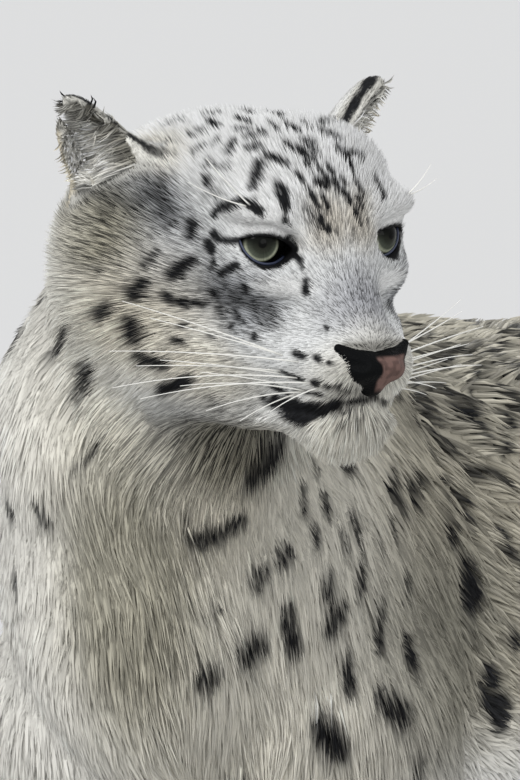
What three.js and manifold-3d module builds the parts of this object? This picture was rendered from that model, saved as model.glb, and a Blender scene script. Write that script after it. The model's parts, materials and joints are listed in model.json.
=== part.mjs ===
// A life-size standing snow leopard, head turned to its left, as a still museum model.
// Millimetres. +Z up, -Y is the way the body faces, +X is the animal's left.
// The forms are the outside of the coat. Each is a field of smooth-joined eggs and tapered limbs,
// and a loft of rays cast from inside finds its surface.
import * as THREE from "three";
import { LoftGeometry } from "three/addons/geometries/LoftGeometry.js";
import { mergeVertices } from "three/addons/utils/BufferGeometryUtils.js";
import Module from "manifold-3d";

const wasm = await Module();
wasm.setup();

// Driving dimensions
const SHOULDER_HEIGHT = 600; // floor to the top of the shoulder blades
const EYE_AT = [153, -142, 638]; // middle of the line between the eyes
const HEAD_YAW = 64.4; // degrees from straight ahead towards the animal's left
const HEAD_PITCH = 6.5; // degrees nose down
const HEAD_ROLL = 1.3; // degrees left side up
const CHEST_BEND = 8; // how far the chest leans to the left, where the head looks
const LEG_SPACING = 72; // from the middle plane to a leg's own middle
const STANCE = { fore: { left: 14, right: -10 }, hind: { left: -18, right: 16 } }; // each leg's step back
const EYEBALL_RADIUS = 15;
const EYE_SPACING = 66; // between the eyeballs' middles
const LID_RADIUS = 18;
const GAP = 0.3; // kept between touching pieces
const SIDES = ["left", "right"];

const FUR_COLOUR = 0xd8d3c6;
const NOSE_COLOUR = 0xa0685c;
const EYE_COLOUR = 0x8f9580;

const { clamp, lerp, smoothstep, degToRad } = THREE.MathUtils;
const point = (x, y, z) => new THREE.Vector3(x, y, z);
const sign = (side) => (side === "left" ? 1 : -1);

// Fields: below zero inside, above zero outside

const join = (a, b, k) => {
  const h = Math.max(k - Math.abs(a - b), 0) / k;
  return Math.min(a, b) - (h * h * k) / 4;
};
const carve = (a, b, k) => -join(-a, b, k);

// An egg at c with half-sizes r
function egg(p, c, r) {
  const x = p.x - c[0];
  const y = p.y - c[1];
  const z = p.z - c[2];
  const k0 = Math.hypot(x / r[0], y / r[1], z / r[2]);
  const k1 = Math.hypot(x / r[0] ** 2, y / r[1] ** 2, z / r[2] ** 2);
  return (k0 * (k0 - 1)) / Math.max(k1, 1e-9);
}

// A limb from a to b whose radius goes from ra to rb
function limb(p, a, b, ra, rb) {
  const ab = [b[0] - a[0], b[1] - a[1], b[2] - a[2]];
  const ap = [p.x - a[0], p.y - a[1], p.z - a[2]];
  const along = ab[0] * ap[0] + ab[1] * ap[1] + ab[2] * ap[2];
  const h = clamp(along / (ab[0] ** 2 + ab[1] ** 2 + ab[2] ** 2), 0, 1);
  return Math.hypot(ap[0] - h * ab[0], ap[1] - h * ab[1], ap[2] - h * ab[2]) - (ra + (rb - ra) * h);
}

// A row of limbs through stations of [place, radius]
function row(p, stations, k) {
  let d = limb(p, stations[0][0], stations[1][0], stations[0][1], stations[1][1]);
  for (let i = 2; i < stations.length; i++) {
    d = join(d, limb(p, stations[i - 1][0], stations[i][0], stations[i - 1][1], stations[i][1]), k);
  }
  return d;
}

// Torso: a row of round stations, narrowed from side to side, with the shoulders and haunches laid on
const TORSO_STATIONS = [
  [[0, -30, 446], 106],
  [[0, 40, SHOULDER_HEIGHT - 152], 148],
  [[0, 200, 436], 141],
  [[0, 330, 436], 131],
  [[0, 460, 456], 118],
  [[0, 560, 474], 86],
];
const CHEST_NARROW = 0.66;
const BELLY_NARROW = 0.76;
const BEND_LENGTH = 260;
const SHOULDER_STEP = { left: 12, right: -4 };
function torsoField(p) {
  const x = p.x - CHEST_BEND * clamp(1 - p.y / BEND_LENGTH, 0, 1.3);
  const narrow = lerp(CHEST_NARROW, BELLY_NARROW, smoothstep(p.y, 0, 220));
  const m = point(Math.abs(x), p.y, p.z);
  const step = x > 0 ? SHOULDER_STEP.left : SHOULDER_STEP.right;
  let d = row(point(x / narrow, p.y, p.z), TORSO_STATIONS, 6) * narrow;
  d = join(d, egg(m, [28, 22, 538], [34, 60, 60]), 40); // shoulder blade
  d = join(d, egg(m, [54, 10 + step, 416], [38, 70, 108]), 40); // shoulder
  d = join(d, egg(m, [62, 486, 418], [44, 92, 122]), 40); // haunch
  return d;
}

// Head frame: x to the animal's left, -y forwards, z up, from the middle between the eyes
const HEAD = new THREE.Matrix4()
  .makeRotationZ(degToRad(HEAD_YAW))
  .multiply(new THREE.Matrix4().makeRotationX(degToRad(HEAD_PITCH)))
  .multiply(new THREE.Matrix4().makeRotationY(degToRad(-HEAD_ROLL)))
  .setPosition(...EYE_AT);
const HEAD_INVERSE = HEAD.clone().invert();
const toHead = (p) => p.clone().applyMatrix4(HEAD_INVERSE);
const fromHead = (x, y, z) => point(x, y, z).applyMatrix4(HEAD).toArray();

// Head, in its own frame, both sides alike
const EYEBALL_SIDES = 14;
const EYEBALL_AT = [EYE_SPACING / 2, 13, 0];
function headField(p) {
  const m = point(Math.abs(p.x), p.y, p.z);
  let d = egg(m, [0, 64, -2], [64, 82, 55]); // skull
  d = join(d, egg(m, [0, 26, 22], [48, 36, 35]), 18); // forehead
  d = join(d, limb(point(m.x * 0.88, m.y, m.z), [0, 2, -12], [0, -33, -43], 22, 14.5), 14); // bridge
  d = join(d, egg(m, [44, 80, -30], [43, 46, 48]), 22); // cheek
  d = join(d, egg(m, [45, 98, -14], [38, 42, 44]), 20); // behind the cheek
  d = join(d, egg(m, [30, 14, -21], [21, 24, 20]), 14); // cheekbone
  d = join(d, egg(m, [13, -32, -55], [17, 17, 16.5]), 6); // whisker pad
  d = join(d, limb(m, [14, -30, -54], [26, 4, -50], 16, 22), 10); // upper lip
  d = join(d, limb(m, [0, -24, -81], [5, -24, -81], 20, 19), 8); // chin
  d = join(d, limb(m, [0, -12, -76], [38, 52, -62], 20, 34), 18); // jaw
  d = join(d, egg(m, [32, 8, 17], [20, 16, 11]), 10); // brow
  d = carve(d, egg(m, [37, -4, 0], [16, 13, 9]), 6); // hollow of the eye
  return join(d, egg(m, EYEBALL_AT, [LID_RADIUS, LID_RADIUS, LID_RADIUS]), 5);
}

// Nose leather, in the head frame
function noseField(p) {
  const m = point(Math.abs(p.x), p.y, p.z);
  let d = egg(m, [0, -44, -48], [16, 12, 9]);
  d = join(d, limb(m, [8, -44, -48], [16, -38, -47], 8, 6), 5); // wing
  d = join(d, egg(m, [0, -43, -57], [7, 8, 8]), 6);
  return carve(d, egg(m, [13, -54, -49], [4.5, 7, 4.5]), 2); // nostril
}

// Neck: a row from inside the chest to inside the skull
const NECK_BASE = [4, -34, 480];
const NECK_TOP = fromHead(0, 104, -34);
const NECK_MIDDLE = NECK_BASE.map((v, i) => (v + NECK_TOP[i]) / 2 + [-8, -16, 0][i]);
const NECK_STATIONS = [
  [NECK_BASE, 84],
  [NECK_MIDDLE, 78],
  [NECK_TOP, 74],
];

// Legs and tail
const LEG_STATIONS = {
  fore: [
    [[62, 8, 390], 58],
    [[68, 42, 318], 50],
    [[71, 24, 220], 40],
    [[LEG_SPACING, 8, 120], 34],
    [[LEG_SPACING, -6, 54], 35],
  ],
  hind: [
    [[66, 490, 400], 88],
    [[72, 460, 320], 68],
    [[75, 456, 292], 58],
    [[74, 520, 232], 43],
    [[LEG_SPACING, 580, 176], 33],
    [[LEG_SPACING, 566, 100], 31],
    [[LEG_SPACING, 554, 50], 33],
  ],
};
const LEG_SPLIT = { fore: 262, hind: 262 }; // height of the cut between the upper and lower leg
const HOCK_SPLIT = 172; // height of the cut at the hind leg's heel
const PAW_Y = { fore: -26, hind: 536 };
const TAIL_STATIONS = [
  [[0, 590, 500], 48],
  [[-6, 680, 440], 46],
  [[-14, 760, 330], 49],
  [[-20, 840, 220], 52],
  [[-20, 950, 135], 54],
  [[-6, 1080, 105], 56],
  [[30, 1200, 130], 55],
  [[75, 1280, 190], 44],
];
const legStations = (kind, side) =>
  LEG_STATIONS[kind].map(([at, r]) => [[sign(side) * at[0], at[1] + STANCE[kind][side], at[2]], r]);

// Paw, in a frame at its own middle on the floor: a broad foot with four toes
const TOES = [
  [-26, -24],
  [-9.5, -38],
  [9.5, -38],
  [26, -24],
];
function pawField(p) {
  let d = egg(p, [0, 4, 32], [38, 44, 33]);
  for (const [x, y] of TOES) {
    d = join(d, egg(p, [x, y, 18], [13.5, 25, 20]), 4);
  }
  return d;
}

// One vertex where several of a geometry's own meet, so that it closes
function weld(geometry, nearness = 1e-4) {
  const bare = new THREE.BufferGeometry();
  bare.setAttribute("position", geometry.attributes.position);
  bare.setIndex(geometry.index);
  const merged = mergeVertices(bare, nearness);
  const index = Array.from(merged.index.array);
  const kept = [];
  for (let i = 0; i < index.length; i += 3) {
    const [a, b, c] = index.slice(i, i + 3);
    if (a !== b && b !== c && c !== a) kept.push(a, b, c); // a pole's flat triangles go
  }
  merged.setIndex(kept);
  return merged;
}

// Long coat: where it grows the body's core lies under the outline by up to CORE_DROP, half the coat's depth,
// and flat tapered locks rise from the core to the outline
const CORE_DROP = 9;
const bibAt = (p) => 1 - smoothstep(p.y, -10, 80);
const bellyAt = (p) => 1 - smoothstep(p.z, 316, 372);
const longCoat = (p) => Math.max(bibAt(p), bellyAt(p));
const coreOf = (field) => (p) => field(p) + CORE_DROP * longCoat(p);
const jowlAt = (p) => smoothstep(p.y, 40, 80) * smoothstep(-p.z, 15, 55);
const JOWL_DROP = 5;
const headCore = (p) => headField(p) + JOWL_DROP * jowlAt(p);
const TAIL_DROP = 6;

// Casting: a station is a place, an axis and how far its rays lean from that axis
const RAY_REACH = 700;
const RAY_STEP = 3;
function cast(field, from, way, level) {
  const at = (t) => field(from.clone().addScaledVector(way, t)) - level;
  let low = 0;
  let high = 0;
  for (let d = at(0); d < 0; d = at(high)) {
    low = high;
    high += Math.max(RAY_STEP, -d * 0.6);
    if (high > RAY_REACH) throw new Error("a ray finds no surface");
  }
  if (high === 0) throw new Error(`a ray starts outside at ${from.toArray()}`);
  for (let i = 0; i < 22; i++) {
    const middle = (low + high) / 2;
    if (at(middle) < 0) low = middle;
    else high = middle;
  }
  return from.clone().addScaledVector(way, low);
}
function castLoft(field, stations, sides, level = 0, up = point(0, 0, 1)) {
  const sections = stations.map(({ at, axis, lean }) => {
    const u = new THREE.Vector3().crossVectors(up, axis).normalize();
    const v = new THREE.Vector3().crossVectors(axis, u);
    const c = Math.cos(degToRad(lean));
    const s = Math.sin(degToRad(lean));
    return Array.from({ length: sides }, (_, i) => {
      const turn = (2 * Math.PI * i) / sides;
      const way = axis.clone().multiplyScalar(c);
      way.addScaledVector(u, s * Math.cos(turn)).addScaledVector(v, s * Math.sin(turn));
      return cast(field, at, way, level);
    });
  });
  return weld(new LoftGeometry(sections));
}

// Stations along a smooth curve through places, with a fan of leaning rays at each end
const END_FAN = [0, 18, 38, 58, 75];
function stationsAlong(places, count, fan = END_FAN) {
  const curve = new THREE.CatmullRomCurve3(places.map((a) => point(...a)));
  const stations = [];
  for (let i = 0; i <= count; i++) {
    const at = curve.getPointAt(i / count);
    const axis = curve.getTangentAt(i / count);
    if (i === 0) for (const lean of fan) stations.push({ at, axis, lean: 180 - lean });
    stations.push({ at, axis, lean: 90 });
    if (i === count) for (const lean of [...fan].reverse()) stations.push({ at, axis, lean });
  }
  return stations;
}

// Solids for joining and cutting
function solid(geometry) {
  return new wasm.Manifold(
    new wasm.Mesh({
      numProp: 3,
      vertProperties: new Float32Array(geometry.attributes.position.array),
      triVerts: new Uint32Array(geometry.index.array),
    }),
  );
}
function largest(whole) {
  return whole.decompose().reduce((a, b) => (b.volume() > a.volume() ? b : a));
}
function geometryOf(whole) {
  const mesh = whole.getMesh();
  const geometry = new THREE.BufferGeometry();
  geometry.setAttribute("position", new THREE.BufferAttribute(mesh.vertProperties, 3));
  geometry.setIndex(new THREE.BufferAttribute(mesh.triVerts, 1));
  return geometry;
}
// The largest closed surface, also once specks under a hundredth of a millimetre are closed up
const SPECK = 0.01;
function cleaned(whole) {
  const welded = solid(weld(geometryOf(largest(whole)), SPECK));
  const geometry = geometryOf(largest(welded));
  geometry.computeVertexNormals();
  return geometry;
}
const cutAll = (whole, tools) => tools.reduce((a, b) => a.subtract(b), whole);
const above = (whole, normal, offset) => whole.trimByPlane(normal, offset);

// A lock: a flat blade that leaves its root inside the core and lies along the coat
const LOCK_SHAPE = [
  // share of the length, share of the way from the core up to the outline, share of the width
  [0.02, -0.5, 0.7],
  [0.34, 0.45, 1],
  [0.7, 0.85, 0.72],
];
const LOCK_ROOT_DEPTH = 9;
const LOCK_THICKNESS = 0.3; // of its width
function gradient(field, p) {
  const e = 0.5;
  const slope = (x, y, z) => field(point(p.x + x, p.y + y, p.z + z)) - field(point(p.x - x, p.y - y, p.z - z));
  return point(slope(e, 0, 0), slope(0, e, 0), slope(0, 0, e)).normalize();
}
function onLevel(field, p, level) {
  const q = p.clone();
  for (let i = 0; i < 3; i++) q.addScaledVector(gradient(field, q), level - field(q));
  return q;
}
function lock(field, root, way, { length, width, drop, grow = 0 }) {
  const at = (share, rise) => onLevel(field, root.clone().addScaledVector(way, share * length), drop * (rise - 1));
  const deep = onLevel(field, root, -drop - LOCK_ROOT_DEPTH);
  const tip = at(1, 1).addScaledVector(way, grow);
  const sections = [[deep, deep, deep, deep]];
  for (const [share, rise, wide] of LOCK_SHAPE) {
    const middle = at(share, rise);
    const out = gradient(field, middle);
    const across = new THREE.Vector3().crossVectors(way, out).normalize();
    const w = (width * wide) / 2 + grow;
    const t = (width * wide * LOCK_THICKNESS) / 2 + grow;
    sections.push([
      middle.clone().addScaledVector(across, w),
      middle.clone().addScaledVector(out, -t),
      middle.clone().addScaledVector(across, -w),
      middle.clone().addScaledVector(out, t),
    ]);
  }
  sections.push([tip, tip, tip, tip]);
  return solid(weld(new LoftGeometry(sections)));
}

// A repeatable draw between -1 and 1
function makeDraw(seed) {
  let state = seed;
  return () => {
    state = (state * 1103515245 + 12345) % 2147483648;
    return state / 1073741824 - 1;
  };
}

// Locks set round a row of places in rows like tiles, where grows says so, lying the way lie says
function lockRows(field, places, { rows, around, grows, lie, length, width, drop, seed }, grow = 0) {
  const draw = makeDraw(seed);
  const curve = new THREE.CatmullRomCurve3(places.map((a) => point(...a)));
  const locks = [];
  for (let i = 0; i < rows; i++) {
    const at = curve.getPointAt((i + 0.5) / rows);
    const axis = curve.getTangentAt((i + 0.5) / rows);
    const u = new THREE.Vector3().crossVectors(point(1, 0, 0), axis).normalize();
    const v = new THREE.Vector3().crossVectors(axis, u);
    for (let j = 0; j < around; j++) {
      const turn = (2 * Math.PI * (j + (i % 2) / 2 + 0.18 * draw())) / around;
      const sizes = { length: length * (1 + 0.2 * draw()), width: width * (1 + 0.15 * draw()), drop, grow };
      const sway = 0.22 * draw();
      const ray = u.clone().multiplyScalar(Math.cos(turn)).addScaledVector(v, Math.sin(turn));
      const root = cast(field, at, ray, -drop);
      if (!grows(root)) continue;
      const out = gradient(field, root);
      const way = lie(root, axis).clone();
      way.addScaledVector(out, -way.dot(out)).normalize();
      way.addScaledVector(new THREE.Vector3().crossVectors(out, way), sway).normalize();
      locks.push(lock(field, root, way, sizes));
    }
  }
  return locks;
}

// Locks as laid, and a copy grown by the gap to cut the neighbours with
const tuft = (field, places, plan) => ({
  locks: lockRows(field, places, plan),
  grown: lockRows(field, places, plan, GAP),
});
const addAll = (whole, more) => more.reduce((a, b) => a.add(b), whole);

// Torso
const TORSO_SPINE = [[6, -30, 446], [4, 120, 442], [0, 330, 440], [0, 560, 470]];
const torsoAt = (level) => solid(castLoft(coreOf(torsoField), stationsAlong(TORSO_SPINE, 10), 24, level));
const torsoCore = torsoAt(0);
const torsoGrown = torsoAt(GAP);
const outsideNeck = (p) => row(p, NECK_STATIONS, 10) > 6;
const BELLY_LOCKS = {
  rows: 9,
  around: 13,
  grows: (p) => p.y > 60 && p.y < 400 && bellyAt(p) > 0.4,
  lie: () => point(0, 0.8, -0.6),
  length: 72,
  width: 36,
  drop: CORE_DROP,
  seed: 5,
};
const CHEST_LOCKS = {
  rows: 5,
  around: 15,
  grows: (p) => p.y < 30 && Math.abs(p.x - CHEST_BEND) < 58 && outsideNeck(p) && p.z < 460,
  lie: () => point(0, 0.25, -1),
  length: 62,
  width: 30,
  drop: CORE_DROP,
  seed: 11,
};
const CHEST_ROW = [[8, -10, 500], [8, 10, 350]];
const bellyCoat = tuft(torsoField, TORSO_SPINE, BELLY_LOCKS);
const chestCoat = tuft(torsoField, CHEST_ROW, CHEST_LOCKS);

// Head: rings of rays round the axis from the back of the skull to the nose, closest at the face
const HEAD_MIDDLE = point(0, 34, -24);
const HEAD_SIDES = 38;
const FACE_RINGS = 15;
const FACE_LEAN = 60;
const BACK_RINGS = 8;
function headStations() {
  const axis = point(0, -0.96, -0.28).normalize();
  const leans = [];
  for (let i = BACK_RINGS; i > 0; i--) leans.push(FACE_LEAN + ((180 - FACE_LEAN) * i) / BACK_RINGS);
  for (let i = FACE_RINGS; i >= 0; i--) leans.push((FACE_LEAN * i) / FACE_RINGS);
  return leans.map((lean) => ({ at: HEAD_MIDDLE, axis, lean }));
}
const headAt = (level) => castLoft(headCore, headStations(), HEAD_SIDES, level);

// A ball or egg of half-sizes r at c
function eggGeometry(c, r, across, down) {
  return weld(new THREE.SphereGeometry(1, across, down))
    .scale(...r)
    .translate(...c);
}

// Ears: a cupped blade with a flange towards the crown, tipped outwards and turned to face forwards and out
const EAR_AT = [72, 94, 26];
const EAR_TIP_OUT = 30;
const EAR_TURN_OUT = 46;
const EAR_CUP_AT = [1, -11, 7];
const EAR_CUP_SIZE = [14.5, 14, 29];
function earField(p) {
  const blade = egg(p, [0, 0, 0], [19, 11, 38]);
  return join(blade, egg(p, [-14, 3, -14], [19, 11, 22]), 12);
}
const EAR_LEANS = [180, 145, 115, 90, 68, 50, 36, 24, 12, 0];
function earShape(level) {
  const stations = EAR_LEANS.map((lean) => ({ at: point(-3, 1, -6), axis: point(0, 0, 1), lean }));
  return castLoft(earField, stations, 14, level, point(0, 1, 0));
}
function placeEar(geometry, side) {
  geometry.rotateZ(degToRad(EAR_TURN_OUT)).rotateY(degToRad(EAR_TIP_OUT)).translate(...EAR_AT);
  return side === "left" ? geometry : mirror(geometry);
}
function mirror(geometry) {
  const flipped = geometry.scale(-1, 1, 1);
  const index = flipped.index.array;
  for (let i = 0; i < index.length; i += 3) [index[i], index[i + 1]] = [index[i + 1], index[i]];
  return flipped;
}
const earCup = (side) => solid(placeEar(eggGeometry(EAR_CUP_AT, EAR_CUP_SIZE, 12, 8), side));

// Eyes and the opening between the lids, an almond cut straight out along the way the eye looks
const LOOK_OUT = 20;
const SLANT = 20;
const OPENING = { across: -2.5, below: [-20, 26], above: [9, 18.5] }; // circles' middles and radii
function almondGeometry() {
  const { across, below, above: over } = OPENING;
  const shape = new THREE.Shape();
  const rise = over[0] - below[0];
  const corner = (below[1] ** 2 - over[1] ** 2 + rise ** 2) / (2 * rise); // height of the eye's corners
  const half = Math.sqrt(below[1] ** 2 - corner ** 2);
  const top = Math.atan2(corner, half);
  const bottom = Math.atan2(corner - rise, half);
  shape.absarc(across, below[0], below[1], top, Math.PI - top, false);
  shape.absarc(across, over[0], over[1], Math.PI - bottom, 2 * Math.PI + bottom, false);
  return weld(new THREE.ExtrudeGeometry(shape, { depth: 26, bevelEnabled: false, curveSegments: 8 }));
}
function placeEye(geometry, side) {
  geometry.rotateX(Math.PI / 2).rotateY(degToRad(-SLANT));
  geometry.rotateZ(degToRad(LOOK_OUT)).translate(...EYEBALL_AT);
  return side === "left" ? geometry : mirror(geometry);
}
const ball = (side, r, fine) =>
  solid(eggGeometry([sign(side) * EYEBALL_AT[0], EYEBALL_AT[1], EYEBALL_AT[2]], [r, r, r], fine, fine / 2));

// Line of the mouth, from under the nose back to the corners, with the lower lip beneath it
const MOUTH = [
  [0, -48, -70],
  [9, -47, -73],
  [20, -38, -77],
  [31, -20, -80],
  [37, -2, -80],
];
const MOUTH_INSIDE = [0, 0, -72];
function mouthTube(radius, drop, depth) {
  const from = point(...MOUTH_INSIDE);
  const half = MOUTH.map(([x, y, z]) => {
    const way = point(x, y, z - drop).sub(from).normalize();
    return cast(headField, from, way, 0).addScaledVector(way, -depth);
  });
  const other = half.slice(1).reverse().map((p) => point(-p.x, p.y, p.z));
  const path = new THREE.CatmullRomCurve3([...other, ...half]);
  const section = new THREE.Shape().absellipse(0, 0, radius, radius, 0, 2 * Math.PI, false, 0);
  const geometry = new THREE.ExtrudeGeometry(section, {
    steps: 14,
    curveSegments: 3,
    bevelEnabled: false,
    extrudePath: path,
  });
  return solid(weld(geometry));
}

function makeHead() {
  let head = solid(headAt(0));
  for (const side of SIDES) head = head.add(ball(side, LID_RADIUS, 16));
  head = head.add(mouthTube(2.6, 4.6, 1.2)); // lower lip
  head = head.subtract(mouthTube(1.8, 0, 0));
  for (const side of SIDES) {
    head = head.subtract(ball(side, EYEBALL_RADIUS + GAP, EYEBALL_SIDES));
    head = head.subtract(solid(placeEye(almondGeometry(), side)));
  }
  return head;
}
const headGrown = solid(headAt(GAP));
const JOWL_LOCKS = {
  rows: 2,
  around: 10,
  grows: (p) => p.z < -20 && p.y > 40 && p.y < 110 && jowlAt(p) > 0.25,
  lie: () => point(0, 0.75, -0.66),
  length: 40,
  width: 23,
  drop: JOWL_DROP,
  seed: 8,
};
const JOWL_ROW = [[0, 45, -40], [0, 105, -40]];
const jowlCoat = tuft(headField, JOWL_ROW, JOWL_LOCKS);

// Nose leather
function noseStations() {
  const axis = point(1, 0, 0);
  const middle = (x) => point(x, -42, -50);
  const fan = (x, leans) => leans.map((lean) => ({ at: middle(x), axis, lean }));
  return [...fan(-8, [180, 155, 128]), ...fan(-5, [90]), ...fan(0, [90]), ...fan(5, [90]), ...fan(8, [52, 25, 0])];
}
const noseAt = (level) => solid(castLoft(noseField, noseStations(), 16, level));

// Bodies that overlap one another as fields, for the soft way the neck, legs and tail grow out
function nearRow(p, whole, stations, spread) {
  return Math.max(whole, row(p, stations, 6) - spread);
}
function neckField(p) {
  const d = join(torsoField(p), row(p, NECK_STATIONS, 10), 40);
  return nearRow(p, join(d, headField(toHead(p)), 24), NECK_STATIONS, 16);
}
const NECK_LOCKS = {
  rows: 4,
  around: 11,
  grows: (p) => torsoField(p) > -4 && headField(toHead(p)) > 2 && bibAt(p) > 0.5 && p.z > 430,
  lie: () => point(0, 0.1, -1),
  length: 86,
  width: 38,
  drop: CORE_DROP,
  seed: 3,
};
const legField = (stations) => (p) =>
  nearRow(p, join(torsoField(p), row(p, stations, 8), 30), stations, 14);
const tailField = (p) =>
  nearRow(p, join(torsoField(p), row(p, TAIL_STATIONS, 8), 30), TAIL_STATIONS, 14);
const tailCore = (p) => tailField(p) + TAIL_DROP;

function loftAlong(field, stations, count, sides, level = 0) {
  const places = stations.map(([at]) => at);
  return solid(castLoft(field, stationsAlong(places, count, [0, 30, 60]), sides, level, point(1, 0, 0)));
}

// Materials
const finish = (color, roughness) => new THREE.MeshStandardMaterial({ color, roughness, metalness: 0 });
const FUR = finish(FUR_COLOUR, 0.9);
const NOSE = finish(NOSE_COLOUR, 0.5);
const EYE = finish(EYE_COLOUR, 0.1);

function piece(name, whole, material) {
  const mesh = new THREE.Mesh(cleaned(whole), material);
  mesh.name = name;
  return mesh;
}

// The whole animal
const animal = new THREE.Group();
const headGroup = new THREE.Group();
headGroup.applyMatrix4(HEAD);
animal.add(headGroup);

const head = addAll(makeHead(), jowlCoat.locks);
const headCut = [head, headGrown, ...jowlCoat.grown].map((one) => one.transform(HEAD.toArray()));
const earCuts = SIDES.map((side) => solid(placeEar(earShape(GAP), side).applyMatrix4(HEAD)));
const neckAt = (level) => loftAlong(coreOf(neckField), NECK_STATIONS, 7, 22, level);
const neckGrown = neckAt(GAP);
const neckCoat = tuft(neckField, NECK_STATIONS.map(([at]) => at), NECK_LOCKS);
const neck = cutAll(addAll(neckAt(0), neckCoat.locks), [torsoGrown, ...headCut, ...earCuts]);
animal.add(piece("neck", neck, FUR));

const neckCutters = [neckGrown, neck, ...neckCoat.grown];
const torsoLocks = [...bellyCoat.locks, ...chestCoat.locks].map((one) => cutAll(one, neckCutters));
const torso = addAll(torsoCore, torsoLocks);
animal.add(piece("torso", torso, FUR));
const bodyCutters = [torsoGrown, torso, ...bellyCoat.grown, ...chestCoat.grown, ...neckCutters];

headGroup.add(piece("head", head, FUR));
headGroup.add(piece("nose", noseAt(0).subtract(headGrown), NOSE));
for (const side of SIDES) {
  headGroup.add(piece(`eye_${side}`, ball(side, EYEBALL_RADIUS, EYEBALL_SIDES), EYE));
  const ear = solid(placeEar(earShape(0), side)).subtract(earCup(side)).subtract(headGrown);
  headGroup.add(piece(`ear_${side}`, ear, FUR));
}

for (const kind of ["fore", "hind"]) {
  for (const side of SIDES) {
    const stations = legStations(kind, side);
    const pawPlace = [sign(side) * LEG_SPACING, PAW_Y[kind] + STANCE[kind][side], 0];
    const pawSpine = [[0, 24, 24], [0, -6, 24], [0, -30, 20]];
    const pawAt = (level) =>
      solid(castLoft(pawField, stationsAlong(pawSpine, 2), 14, level, point(1, 0, 0)).translate(...pawPlace));
    const leg = loftAlong(legField(stations), stations, 8, 12);
    const half = above(leg, [sign(side), 0, 0], GAP / 2); // the thighs part at the middle plane
    const clear = cutAll(half, [...bodyCutters, pawAt(GAP)]);
    const split = LEG_SPLIT[kind];
    animal.add(piece(`${kind}leg_${side}_upper`, above(clear, [0, 0, 1], split + GAP / 2), FUR));
    const lower = above(clear, [0, 0, -1], GAP / 2 - split);
    if (kind === "hind") {
      animal.add(piece(`${kind}leg_${side}_lower`, above(lower, [0, 0, 1], HOCK_SPLIT + GAP / 2), FUR));
      animal.add(piece(`${kind}leg_${side}_hock`, above(lower, [0, 0, -1], GAP / 2 - HOCK_SPLIT), FUR));
    } else {
      animal.add(piece(`${kind}leg_${side}_lower`, lower, FUR));
    }
    animal.add(piece(`${kind}paw_${side}`, above(pawAt(0), [0, 0, 1], 0), FUR));
  }
}

// Tail, parted into four lengths across its own curve
const TAIL_PARTS = ["tail_base", "tail_mid", "tail_lower", "tail_tip"];
const TAIL_CUTS = [0.27, 0.52, 0.77];
const TAIL_LOCKS = {
  rows: 6,
  around: 4,
  grows: (p) => torsoField(p) > 20,
  lie: (p, axis) => axis,
  length: 92,
  width: 44,
  drop: TAIL_DROP,
  seed: 2,
};
const tailLocks = lockRows(tailField, TAIL_STATIONS.map(([at]) => at), TAIL_LOCKS);
let rest = addAll(loftAlong(tailCore, TAIL_STATIONS, 18, 10), tailLocks).subtract(torsoGrown);
const tailCurve = new THREE.CatmullRomCurve3(TAIL_STATIONS.map(([at]) => point(...at)));
TAIL_PARTS.forEach((name, i) => {
  if (i === TAIL_CUTS.length) {
    animal.add(piece(name, rest, FUR));
    return;
  }
  const at = tailCurve.getPointAt(TAIL_CUTS[i]);
  const way = tailCurve.getTangentAt(TAIL_CUTS[i]);
  const offset = at.dot(way);
  animal.add(piece(name, above(rest, way.clone().negate().toArray(), GAP / 2 - offset), FUR));
  rest = above(rest, way.toArray(), offset + GAP / 2);
});

// The origin is on the floor under the middle of the whole
animal.updateMatrixWorld(true);
const box = new THREE.Box3().setFromObject(animal, true);
const middle = box.getCenter(point(0, 0, 0));
animal.position.set(-middle.x, -middle.y, 0);

export default animal;
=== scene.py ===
# %% [markdown]
# # A standing snow leopard as a life-size museum model
# The real animal stands about 600 mm at the shoulder, with a thick smoky coat and a tail nearly as long as
# its body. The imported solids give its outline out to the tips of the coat. Here they get one living
# surface: a skin with no seams, a coat of small solid tufts, wet eyes, nose leather, lips and whiskers. We
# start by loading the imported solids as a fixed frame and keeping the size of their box.

# %% Load the fixed frame
import json
import math

import bpy
import numpy as np
import openvdb
from mathutils import Matrix, Vector
from mathutils.kdtree import KDTree

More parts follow.
